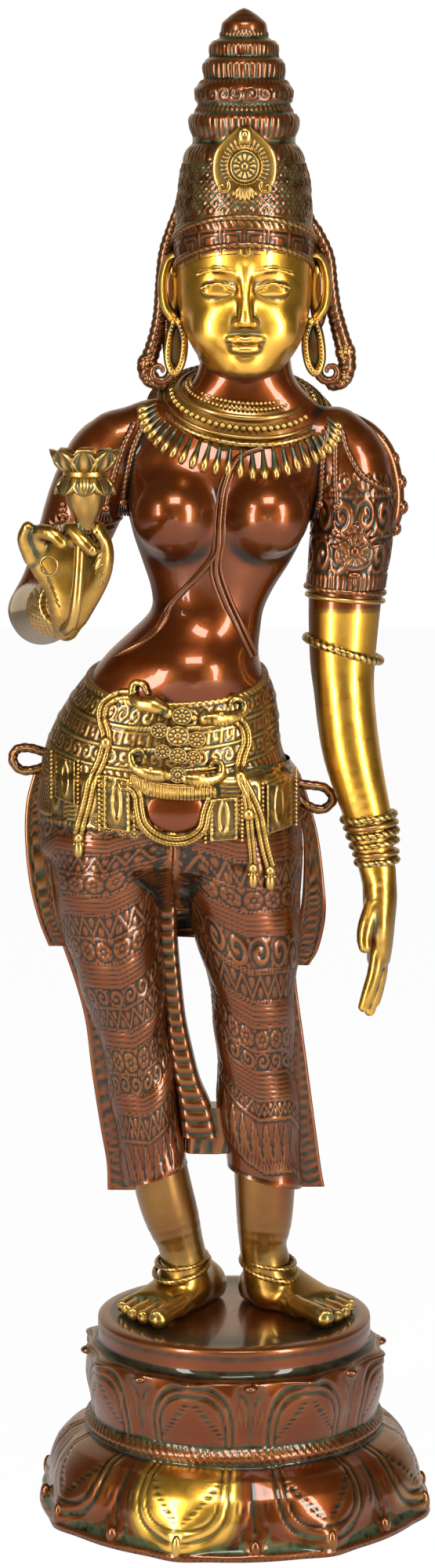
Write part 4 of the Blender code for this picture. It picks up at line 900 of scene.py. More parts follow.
def head():
    clay = Clay((-48, -54, 566), (60, 44, 676), 1.14)
    clay.loft(HEAD, 1)
    clay.ball((FACE, -27, 585), (11, 8.5, 7.5), 9)
    for side in (-1, 1):
        clay.ball((FACE + side * 17, -26, 606), (13, 10.5, 12), 10)
        clay.ball((FACE + side * 16.5, -40.0, 630.5), (11.5, 5.5, 6.5), 7, cut=True)
    clay.rod([(FACE, -36.5, 642, 3.4, 3), (FACE, -39.8, 629, 3.0, 3.4), (FACE, -43.0, 618, 3.6, 4.0),
              (FACE, -44.2, 611.5, 4.4, 4.0)], 4)
    for side in (-1, 1):
        clay.ball((FACE + side * 4.7, -41.0, 609.8), (3.2, 3.4, 3.0), 1.8)
        clay.ball((FACE + side * 2.8, -43.6, 606.6), (1.5, 1.9, 1.1), 0.8, cut=True)
        clay.ball((FACE + side * 16.5, -33.2, EYES), (9.6, 4.7, 4.5), 1.8)
        for spots, span, near, bow, rise, dip, size, soft, cut in EYE_LINES:
            clay.rod([(FACE + side * (16.5 + u), near - bow * (1 - (u / span) ** 2),
                       EYES + rise + dip * (u / span) ** 2, size, size) for u in spots], soft, cut=cut)
        brow = [(FACE + side * u, -38.6 + 0.006 * u * u,
                 EYES + 10.0 + 2.6 * math.sin((u - 5) / 24 * math.pi) - 0.05 * u, 1.2, 0.9)
                for u in (5, 11, 17, 23, 29)]
        clay.rod(brow, 1.0)
    clay.rod([(FACE + u, -38.6 - 2.6 * (1 - (u / 12) ** 2),
               599.6 + 0.9 * math.exp(-((abs(u) - 3) / 3) ** 2) + 0.012 * u * u, 2.0, 1.8)
              for u in (-9.5, -6.5, -3, 0, 3, 6.5, 9.5)], 1.8)
    clay.rod([(FACE + u, -38.2 - 2.6 * (1 - (u / 9) ** 2), 594.4 + 0.02 * u * u, 2.5, 2.3)
              for u in (-6.5, -3, 0, 3, 6.5)], 1.8)
    clay.rod([(FACE + u, -41.4 + 0.018 * u * u, 597.3 + 0.012 * u * u, 0.55, 0.6)
              for u in (-10.5, -6, 0, 6, 10.5)], 0.5, cut=True)
    clay.ball((FACE, -40.5, 590.2), (7, 2.5, 1.6), 1.8, cut=True)
    points, faces = clay.skin(2)
    bag = Bag()
    gold = ease(10, -12, points[:, 1]) * ease(575, 584, points[:, 2]) * 0.97
    bag.add(points, faces, gold, 0.12)
    face = surface(points, faces)
    for side in (-1, 1):
        outline = [(FACE + side * u, 640.6 + 2.4 * math.sin((u - 5) / 24 * math.pi) - 0.03 * u)
                   for u in (5, 11, 17, 23, 28)]
        brow = [(px, met(face, px, pz, -36) + 0.1, pz) for px, pz in eased_rows(outline, 6)]
        bag.tube(brow, 0.55, 6, gold=0.9)
    drop = [(FACE + 2.6 * math.sin(t) * (1 - 0.3 * math.cos(t)), 653.5 + 4.6 * math.cos(t))
            for t in np.linspace(0, 2 * np.pi, 22)]
    bag.tube([(px, met(face, px, pz, -39), pz) for px, pz in drop], 0.5, 6, gold=0.9)
    return bag


def on_side(side, rows):
    return [(FACE + side * r[0], *r[1:]) for r in rows]


def head_sides():
    """Ears with their long lobes, the strands that fall beside the head, and the hair behind."""
    bag = Bag()
    for side in (-1, 1):
        path = eased_rows(on_side(side, EAR), 6)
        bag.tube(path, 3.4, 10, gold=0.75)
        bag.tube(path + (side * 0.5, -3.0, 0), 1.2, 7, gold=0.9)
        lobe = eased_rows(on_side(side, EARLOBE), 6)
        bag.tube(lobe, 2.6, 10, gold=0.4)
        bag.chain(lobe + (0, -2.4, 0), 1.0, 2.3, 6, 0.7)
        bag.egg((FACE + side * 42, 1, 595), (5.6, 3.2, 16), 18, 0.25, 0.3)
        bag.egg((FACE + side * 44.0, 4, 628), (5.6, 4.6, 17), 18, 0.7)
        bag.egg((FACE + side * 45.0, -0.6, 629), (2.4, 1.6, 10), 12, 0.3, 0.5)
        strand = zip(LEFT_STRAND if side < 0 else RIGHT_STRAND, STRAND_RADII)
        path = eased_rows(on_side(side, [(*spot, w) for spot, w in strand]), 12)
        bag.tube(path[:, :3], path[:, 3] * 0.93, 14, twist=0.16, pitch=4.6, gold=0.02, green=0.4)
        if side < 0:
            bag.chain(path[20:96, :3] + (0, -4.6, 0), 1.25, 2.7, 7, 0.15)
        for k, size in ((92, 6.4), (104, 5.6)):
            centre = path[k, :3]
            bag.egg(centre, (size, size * 0.92, size), 16, 0.12, 0.3)
            for turn in around(8):
                bag.egg(centre + (0.55 * size * math.cos(turn), -0.8 * size, 0.55 * size * math.sin(turn)),
                        (1.3, 1.0, 1.3), 6, 0.2)
            bag.egg(centre + (0, -0.98 * size, 0), (1.7, 1.2, 1.7), 8, 0.3)
        low = 578 if side < 0 else 604
        bag.egg((FACE + side * 44.5, 10, 0.5 * (low + 664)), (6.5, 4.5, 0.5 * (664 - low)), 24, 0.0, 0.6)
        bag.chain(np.linspace((FACE + side * 47, 5.0, low + 12), (FACE + side * 46, 5.0, 652), 12), 1.5,
                  3.2, 7, 0.05, 0.5)
        coil = [(FACE + side * (51 + (7.5 - 0.85 * t) * math.cos(t + 2.6)), -0.5 - 0.5 * t,
                 580 + (7.5 - 0.85 * t) * math.sin(t + 2.6))
                for t in np.linspace(0, 7, 40)]
        bag.tube(coil, np.linspace(3.2, 1.3, 40), 10, twist=0.15, pitch=3, gold=0.1, green=0.4)
        plate = eased_rows([(34, 12, 664, 6.5), (34.5, 12, 690, 5), (32.5, 11, 703, 3)], 8)
        for shift in (0, 5, 10):
            bag.tube(np.stack([FACE + side * (plate[:, 0] + 2), plate[:, 1] - 8 + shift, plate[:, 2]], 1),
                     plate[:, 3] * 0.62, 10, twist=0.12, pitch=5, gold=0.15, green=0.4)
    t = around(32)
    rows = eased_rows(BACK_HAIR, 8)
    grid = []
    for z, x, y, half, near, far in rows:
        deep = np.where(np.sin(t) > 0, far, near)
        wave = 1 + 0.035 * np.abs(np.sin(8 * t + 0.1 * z))
        grid.append(np.stack([x + half * np.cos(t) * wave, y + deep * np.sin(t) * wave, z + 0 * t], 1))
    grid = np.array(grid)
    bag.grid(grid, 0.08, 0.2, True)
    for r, size in ((24, 1.6), (17, 1.4), (10, 1.3)):
        ring = [(6 + r * math.cos(a), 50.2 - 0.012 * r * r, 640 + r * math.sin(a)) for a in around(48)]
        bag.tube(ring, size, 8, closed=True, twist=0.25, pitch=4, gold=0.2)
    bag.egg((6, 45, 640), (25, 5.6, 25), 40, 0.1)
    bag.egg((6, 50, 640), (5, 3, 5), 14, 0.3)
    return bag


# Crown. Its bands: low, high, pattern, how many round, how far they stand out, gold, green

CROWN_BANDS = [
    (650, 665, panels, 18, -0.8, 0.0, 0.1),
    (665.5, 671.5, rope, 60, 1.3, 0.5, 0.3),
    (672, 673.8, beads, 110, 0.6, 0.5, 0.5),
    (674, 702, net, 30, 0.95, 0.12, 0.75),
    (702, 704, beads, 96, 0.7, 0.5, 0.5),
    (704, 712, pleats, 56, 0.9, 0.35, 0.5),
    (712, 714, line, 10, 0.5, 0.3, 0.9),
    (716, 718.5, line, 10, 0.5, 0.3, 0.9),
    (718.5, 731.5, pleats, 50, 0.8, 0.3, 0.5),
    (733, 737, beads, 60, 0.8, 0.6, 0.3),
    (738.5, 747, scrolls, 22, 0.6, 0.3, 0.3),
    (749.5, 752, beads, 60, 0.7, 0.65, 0.2),
    (752.5, 761.5, pleats, 40, 0.8, 0.35, 0.4),
    (762.5, 764.5, line, 10, 0.5, 0.7, 0.2),
    (765, 772.5, pleats, 45, 0.6, 0.35, 0.4),
    (773, 775, line, 10, 0.5, 0.7, 0.2),
    (777, 779.5, beads, 34, 0.6, 0.5, 0.3),
]


def crown():
    profile = np.array(CROWN, float)
    fine = []
    for (z0, r0), (z1, r1) in zip(profile[:-1], profile[1:]):
        count = max(1, int(round(math.hypot(z1 - z0, r1 - r0) / 0.92)))
        for k in range(count):
            fine.append((z0 + (z1 - z0) * k / count, r0 + (r1 - r0) * k / count))
    fine = np.array(fine + [tuple(profile[-1]), (793.6, 0.3)])
    for _ in range(2):
        fine[1:-1] = 0.5 * fine[1:-1] + 0.25 * (fine[:-2] + fine[2:])
    z, r = fine[:, 0][:, None], fine[:, 1][:, None]
    columns = 240
    turn = turns(columns)
    fall = 17 * np.clip((684 - z) / 30, 0, 1) * np.minimum(1, 0.5 * (1 - np.cos(turn)) * 1.7)
    grid = np.stack([5.4 + r * np.sin(turn), 1 - r * np.cos(turn), z - fall], -1)
    height = np.zeros((len(fine), columns))
    gold = np.full_like(height, 0.25)
    green = np.full_like(height, 0.5)
    for low, high, pattern, count, amount, shine, verdigris in CROWN_BANDS:
        rows = (fine[:, 0] >= low) & (fine[:, 0] < high)
        pitch = 2 * np.pi / count
        n = np.floor(turn / pitch) + 0 * z[rows]
        a = 2 * (turn / pitch - n) - 1
        b = 2 * (z[rows] - low) / (high - low) - 1 + 0 * turn
        height[rows] = amount * pattern(a, b, n, pitch * r[rows].mean(), high - low)
        gold[rows], green[rows] = shine, verdigris
    grid = grid + sheet_normals(grid, True) * height[..., None]
    bag = Bag()
    bag.grid(grid, 0.28 * gold, green, True)
    for rise, radius in ((652.5, 40.9), (668.5, 41.9)):
        a = around(180)
        down = 17 * np.minimum(1, 0.5 * (1 - np.cos(a)) * 1.7)
        ring = np.stack([5.4 + radius * np.sin(a), 1 - radius * np.cos(a), rise + 3 - down], 1)
        bag.tube(ring, 1.9, 10, closed=True, twist=0.3, pitch=4.2, gold=0.2, green=0.4)
    return bag


def medal(bag, centre, half, tall, relief_of, gold, green=0.2, thick=2.0, rings=26, spokes=72, curve=0.0):
    """A round or oval raised badge that faces the front; relief_of(r, t) is its height on the plate."""
    r = np.concatenate([np.linspace(0.02, 1, rings), [1.02, 1.02]])[:, None]
    t = turns(spokes)
    up = relief_of(np.minimum(r, 1), t) + thick
    up = np.where(np.arange(len(r))[:, None] >= rings,
                  np.array([0.45 * thick, -thick])[np.clip(np.arange(len(r)) - rings, 0, 1)][:, None], up)
    x, z = half * r * np.sin(t), tall * r * np.cos(t)
    grid = np.stack([centre[0] + x, centre[1] - up + curve * x * x, centre[2] + z], -1)
    bag.grid(grid, gold, green, True, flip=True)


def rosette(count, boss=0.28):
    def relief_of(r, t):
        petals = 1.1 * np.abs(np.cos(count * t / 2)) ** 0.7 * ease(boss, boss + 0.15, r)
        rim = bump((r - 0.92) / 0.08) * (0.7 + 0.3 * np.abs(np.cos(count * t)))
        return petals * ease(0.84, 0.7, r) + 1.3 * bump(r / boss) + rim
    return relief_of


def crown_plaque():
    bag = Bag()
    cx, y = 5.6, -36.0
    medal(bag, (cx, -39.2, 701), 8.8, 9.4, rosette(12), 0.62, 0.2, 2.0)
    for a in np.linspace(-132, 132, 25):
        s, c = math.sin(math.radians(a)), math.cos(math.radians(a))
        start = np.array((cx + 10 * s, -38.0, 701 + 10.4 * c))
        end = np.array((cx + 19.5 * s, -36.2 + 0.5 * abs(s) * 5, 701 + 19 * c))
        bag.tube(np.linspace(start, end, 6), np.array([1.1, 1.3, 1.5, 1.6, 1.5, 0.9]), 8, gold=0.58)
    arch = [(cx + 9.8 * math.sin(a), -38.6, 701 + 10.3 * math.cos(a)) for a in around(60)]
    bag.tube(arch, 1.0, 8, closed=True, twist=0.3, pitch=2.4, gold=0.62)
    for side in (-1, 1):
        coil = [(cx + side * (13 + (4.2 - 0.62 * t) * math.cos(t + 2.4)), -36.4 - 0.3 * t,
                 689 + (4.2 - 0.62 * t) * math.sin(t + 2.4))
                for t in np.linspace(0, 6, 30)]
        bag.tube(coil, np.linspace(1.9, 1.1, 30), 8, gold=0.6)
    for k in range(7):
        a = math.radians(-48 + 16 * k)
        s, c = math.sin(a), math.cos(a)
        leaf_path = np.linspace((cx + 3 * s, -38.4, 690.5 - 1.5 * c),
                                (cx + 9.5 * s, -39.4, 690.5 - 9.5 * c), 5)
        bag.tube(leaf_path, np.array([0.9, 1.3, 1.6, 1.6, 1.0]), 8, gold=0.58)
    bag.egg((cx, -37.2, 718.5), (5.0, 3.2, 6.0), 18, 0.55)
    bag.egg((cx, -40.0, 719.5), (2.2, 1.4, 2.2), 10, 0.65)
    rows = [(683, 10, 1.8), (688, 16, 2.4), (697, 19, 2.4), (708, 18, 2.4), (717, 12, 2), (723.5, 4.5, 2)]
    rows = eased_rows([(z, cx, y, h, t, 4) for z, h, t in rows], 5)
    a = around(40)
    grid = np.array([np.stack([x + h * np.sin(a), yy - np.where(np.cos(a) > 0, f, b) * np.cos(a),
                               z + 0 * a], 1)
                     for z, x, yy, h, f, b in rows])
    bag.grid(grid, 0.4, 0.5, True)
    return bag


# Feet and shins

def foot(heel, heading, mirror, shin):
    along = np.array((math.cos(math.radians(heading)), math.sin(math.radians(heading)), 0))
    across = np.array((-along[1], along[0], 0)) * mirror
    base = np.array((*heel, 0.0))
    clay = Clay((-90, -56, -3), (90, 46, 112), 1.22)
    clay.rod(shin, 3)
    rows = eased_rows(FOOT, 5)
    part, (x, y, z) = clay.window((-90, -56, -3), (90, 46, 60))
    u = (x - base[0]) * along[0] + (y - base[1]) * along[1]
    v = (x - base[0]) * across[0] + (y - base[1]) * across[1]
    half, top = np.interp(u, rows[:, 0], rows[:, 1]), np.interp(u, rows[:, 0], rows[:, 2])
    h = (z - 0.4 * top) / np.where(z > 0.4 * top, 0.6 * top, 0.55 * top)
    ends = np.maximum(np.maximum(-15 - u, u - 45) / 6 + 0.4, 0)
    k = np.sqrt((v / half) ** 2 + h ** 2 + ends ** 2 * 1.2)
    clay.blend(part, ((k - 1) * np.minimum(half, top) * 0.6).astype(np.float32), 5, False)
    for side, start, end, radius in TOES:
        toe = []
        for reach, height, share in ((start - 6, 1.7, 0.85), (start, 1.45, 0.95),
                                     (0.5 * (start + end), 1.3, 0.95), (end - 2, 1.0, 1.0)):
            spot = base + along * reach + across * side * (0.93 + 0.0012 * reach)
            toe.append((spot[0], spot[1], radius * height, radius * share, radius * 0.95 * share))
        clay.rod(toe, 0.6, side_way=across)
        spot = base + along * (end - 0.5) + across * side * (0.93 + 0.0012 * end)
        turn = [along, across, (0, 0, 1)]
        clay.ball((spot[0], spot[1], radius * 1.75), (radius * 0.75, radius * 0.62, radius * 0.32), 0.5,
                  turn=turn)
    clay.cut_below(0.15)
    points, faces = clay.skin(2)
    bag = Bag()
    level = points[:, 2]
    bag.add(points, faces, 0.31 + 0.36 * ease(52, 18, level), 0.05 + 0.9 * ease(17, 9, level))
    centre = np.array((shin[4][0], shin[4][1], 0))
    for lift, size, reach in ((31, 1.4, 0.6), (26, 1.7, 1.8)):
        ring = []
        for a in around(96):
            out = (14.4 + reach) * math.cos(a)
            deep = (16.0 + reach * 1.3) * math.sin(a)
            spot = centre + across * out + along * (deep + 2.5)
            drop = -5.5 * math.sin(a) if lift < 30 else -3.0 * math.sin(a)
            ring.append((spot[0], spot[1], lift + drop))
        bag.tube(ring, size, 9, closed=True, twist=0.25, pitch=3.2, gold=0.4, green=0.5)
    return bag


left_foot = foot((-22.5, 25), -125.0, -1, LEFT_SHIN)
right_foot = foot((21, 22), -46.0, 1, RIGHT_SHIN)


# Forearms and hands

def left_hand():
    clay = Clay((-144, -134, 410), (-66, 34, 504), 1.28)
    clay.rod(LEFT_FOREARM, 2, side_way=(0, 0, 1))
    clay.rod(LEFT_PALM, 3)
    clay.rod(LEFT_THUMB, 4)
    for rows in LEFT_FINGERS:
        clay.rod(rows, 1.2)
    clay.ball((-99, -124, 466), (11, 6, 13), 3, cut=True)
    points, faces = clay.skin(2)
    bag = Bag()
    bag.add(points, faces, 0.34 + 0.28 * ease(-20, -70, points[:, 1]), 0.35)
    palm = surface(points, faces)

    def drawn(line, radius, closed=False):
        made = [(x, met(palm, x, z, -117.9) - 0.1, z) for x, z in line]
        bag.tube(made, radius, 7, closed=closed, gold=0.55, green=0.2)

    drawn([(-107 + 5 * math.cos(t), 474 + 5.5 * math.sin(t)) for t in around(24)], 0.8, True)
    for k in range(6):
        reach = 6 + 1.2 * k
        drawn([(-78 - 1.2 * k + 0.5 * reach * t, 462 + 4 * k + reach * t * (1 - 0.4 * t))
               for t in np.linspace(0, 1, 7)], 0.7)
        drawn([(-101 - 1.0 * k - 0.5 * reach * t, 450 + 3.4 * k + 0.7 * reach * t)
               for t in np.linspace(0, 1, 7)], 0.6)
    for share in np.linspace(0, 1, 7):
        centre = np.array((-105.8, -64, 444.0)) + share * np.array((5.1, -25, 5.6))
        r = 14.6 - 2.4 * share
        ring = [centre + r * np.array((math.cos(a), 0.2 * math.sin(a), math.sin(a))) for a in around(60)]
        bag.tube(ring, 2.5, 9, closed=True, twist=0.25, pitch=3.4, gold=0.34, green=0.8)
    return bag


def right_hand():
    clay = Clay((42, -36, 184), (104, 34, 376), 1.15)
    clay.rod(RIGHT_ARM[4:], 1)
    clay.rod(RIGHT_PALM, 2)
    clay.rod(RIGHT_THUMB, 1.8)
    for rows in RIGHT_FINGERS:
        clay.rod(rows, 0.9)
    points, faces = clay.skin(2)
    bag = Bag()
    bag.add(points, faces[(points[faces, 2] < 360.5).all(1)], 0.76 + 0.16 * ease(268, 290, points[:, 2]),
            0.3)
    return bag


def petal(bag, root, tip, side, half, gold, bud):
    """A broad pointed petal with a double rim, from its root to its tip."""
    axis = tip - root
    out = np.cross(side, axis / np.linalg.norm(axis))
    v = np.linspace(0, 1, 20)[:, None]
    u = np.linspace(-1, 1, 21)[None, :]
    width = half * (1 - v ** 5) ** 0.65 * (0.7 + 0.3 * np.sin(np.pi * v))
    rim = 0.8 * np.exp(-((np.abs(u) - 0.9) / 0.1) ** 2) + 0.5 * np.exp(-((np.abs(u) - 0.62) / 0.08) ** 2)
    if bud:
        inner = 1.5 * np.exp(-(u / 0.3) ** 2 - ((v - 0.45) / 0.3) ** 2)
    else:
        inner = 0.7 * np.abs(np.cos(11 * u)) * ease(0.55, 0.45, np.abs(u)) * ease(0.1, 0.3, v)
    bow = 2.4 * np.sin(np.pi * v) - 1.6 * u * u * (1 - v) + 2.2 * v ** 4
    middle = root + axis * v[..., None] + side * (width * u)[..., None]
    front = middle + out * (bow + (rim + inner) * ease(1, 0.85, v))[..., None]
    back = middle + out * (bow - 3.4 * ease(1.08, 0.8, v))[..., None]
    bag.grid(np.concatenate([front, back[:, ::-1]], 1), gold, 0.3, True)


def lotus():
    bag = Bag()
    stem = eased_rows([(-88.5, -121, 502), (-89, -124, 480), (-91, -125, 455), (-94, -120, 441),
                       (-99, -112, 436)], 10)
    bag.tube(stem, 3.3, 12, gold=0.4, green=0.5)
    centre = np.array((-86.0, -120, 527.0))
    a = around(48)
    cup = eased_rows([(495, 4.4), (500, 6.2), (508, 9.5), (517, 11.5), (527, 12.5), (534, 11)], 6)
    ribs = 1 + 0.01 * np.cos(8 * a)
    grid = np.array([np.stack([centre[0] + r * ribs * np.sin(a), centre[1] - r * ribs * np.cos(a),
                               z + 0 * a], 1) for z, r in cup])
    bag.grid(grid, 0.62, 0.7 * ease(504, 497, grid[..., 2]), True)
    bag.egg(centre + (0, 0, 8), (9, 9, 5), 20, 0.5)
    for k in range(8):
        turn = 2 * math.pi * k / 8
        out = np.array((math.sin(turn), -math.cos(turn), 0.0))
        side = np.array((math.cos(turn), math.sin(turn), 0.0))
        for near, far, rise, half, gold in ((9.5, 18.5, 15.0, 7.8, 0.5), (10.5, 15.8, -12.6, 7.4, 0.42)):
            root = centre + out * near + np.array((0, 0, -0.5 if rise > 0 else 0.5))
            petal(bag, root, centre + out * far + np.array((0, 0, rise)), side if rise > 0 else -side, half,
                  gold, rise > 0)
    return bag


# Hanging cloth

def strip(bag, rows, thick, y, pattern, gold, green=0.25, steps=10, sides=40):
    """A flat hanging strip drawn by its two edges as x, x, z, carved on the front."""
    rows = eased_rows(rows, steps)
    a = around(sides)[None, :]
    middle, half = 0.5 * (rows[:, 0] + rows[:, 1])[:, None], 0.5 * np.abs(rows[:, 1] - rows[:, 0])[:, None]
    across = np.sign(np.sin(a)) * np.abs(np.sin(a)) ** 0.6
    deep = np.sign(np.cos(a)) * np.abs(np.cos(a)) ** 0.5
    z = rows[:, 2][:, None] + 0 * a
    down = rows[0, 2] - z
    height = 0.6 * pattern(across, down, half) * ease(0.1, 0.6, deep)
    grid = np.stack([middle + half * across, y - 0.5 * thick * deep - height, z], -1)
    bag.grid(grid, gold, green, True)
    for end in (0, -1):
        ring = grid[end]
        bag.grid(np.stack([ring, np.repeat(ring.mean(0, keepdims=True), len(ring), 0)]), gold, green, True,
                 flip=(end == 0))


def hatched(across, down, half):
    return np.where(np.abs(across) > 0.72, 1.0, 0.75 * np.abs(np.cos(down * 0.9 + across * half * 1.1)))


def leafy(across, down, half):
    rim = np.where(np.abs(across) > 0.8, 0.8, 0)
    return np.maximum(rim, np.abs(np.cos(0.55 * down + 2.2 * np.abs(across)))
                      * (0.4 + 0.6 * np.abs(across)))


def cross_ribs(across, down, half):
    return 2.0 * np.abs(np.cos(0.42 * down + 0.5 * across ** 2)) ** 0.7


def folds(across, down, half):
    return 1.6 * np.abs(np.cos(5.5 * across + 0.04 * down))


def loose_cloth():
    bag = Bag()
    strip(bag, [(-108, -122, 338), (-112, -127, 318), (-112, -128, 296), (-110, -125.5, 268),
                (-106, -120, 245), (-98, -114, 229)], 3.6, 6, hatched, 0.14)
    strip(bag, [(34, 40, 336), (38, 46, 318), (42, 51.5, 296), (42, 55, 268), (40, 56, 248), (36, 52, 228),
                (36, 46, 217)],
          3.6, 6, hatched, 0.14)
    strip(bag, [(-84, -106, 230), (-75, -97, 203), (-68, -91.5, 180), (-64, -88, 150), (-60, -83, 116),
                (-58, -79, 92), (-56, -78.5, 75)], 4, 8, leafy, 0.08)
    strip(bag, [(26, 37, 226), (26, 38.5, 203), (26, 43, 170), (28, 47, 140), (32, 51, 110), (35, 54, 88),
                (37, 56, 77)],
          4, 8, leafy, 0.08)
    strip(bag, [(-50, -34, 290), (-48, -34.5, 258), (-47, -34.5, 235), (-45, -32, 205), (-42, -29.5, 184),
                (-40, -25.5, 165), (-37, -21, 147), (-34, -14, 130), (-32, -10, 112)], 22, 0, cross_ribs,
                0.06, 0.3, 22, 48)
    strip(bag, [(-32, -4, 130), (-31, -2, 122), (-30, 0, 112), (-30, -2, 101)], 18, 2, folds, 0.1, 0.3)
    for bow in ([(-110, 347), (-124, 351.5), (-132.5, 350.5), (-134.8, 344), (-129.5, 338), (-119, 339),
                 (-108, 345)],
                [(33, 331), (44, 329), (55, 327), (60, 320), (54, 314), (45, 316), (34, 325)]):
        path = eased_rows([(x, 4, z) for x, z in bow], 8)
        bag.tube(path, 2.9, 12, twist=0.15, pitch=5, gold=0.05)
        bag.tube(path + (0, -2.6, 0), 0.9, 7, gold=0.35)
    return bag


# Pedestal, in millimetres from the floor

PETAL_TURN = math.radians(28.5)
FLOOR = -SOLES / UNIT


def wave(turn, sharpness):
    return np.abs(np.cos(4 * (turn - PETAL_TURN))) ** sharpness


def engrave(value, width):
    return -np.exp(-(value / width) ** 2)


def lotus_row(a, b, dash, outer, inner, vee, fan, dome):
    """Two rounded outlines and a dashed V in each petal, fans between petals, and the petals' swell."""
    carve = 0
    for crest, wide, tall, amount, line_width in (outer, inner):
        shape = (np.abs(a) / wide) ** 3 + ((crest - b) / tall) ** 3
        carve = carve + amount * engrave(shape - 1, line_width)
    foot, slope, amount, line_width, low, low_end, high, high_end = vee
    cut = engrave(np.abs(np.abs(a) * 0.9 - (b - foot) * slope), line_width)
    carve = carve + amount * cut * ease(low, low_end, b) * ease(high, high_end, b) * dash
    apart = 1 - np.abs(a)
    ribs = fan[0] * np.abs(np.cos(fan[1] * apart / (0.35 + b)))
    fans = ribs * ease(0.3, 0.22, apart / (0.5 + 0.6 * b)) * ease(0.75, 0.55, b)
    swell = dome[0] * np.clip(1 - (np.abs(a) / dome[1]) ** dome[2], 0, 1)
    return carve, fans, swell * np.sin(np.pi * np.clip(b, 0, 1)) ** 0.6


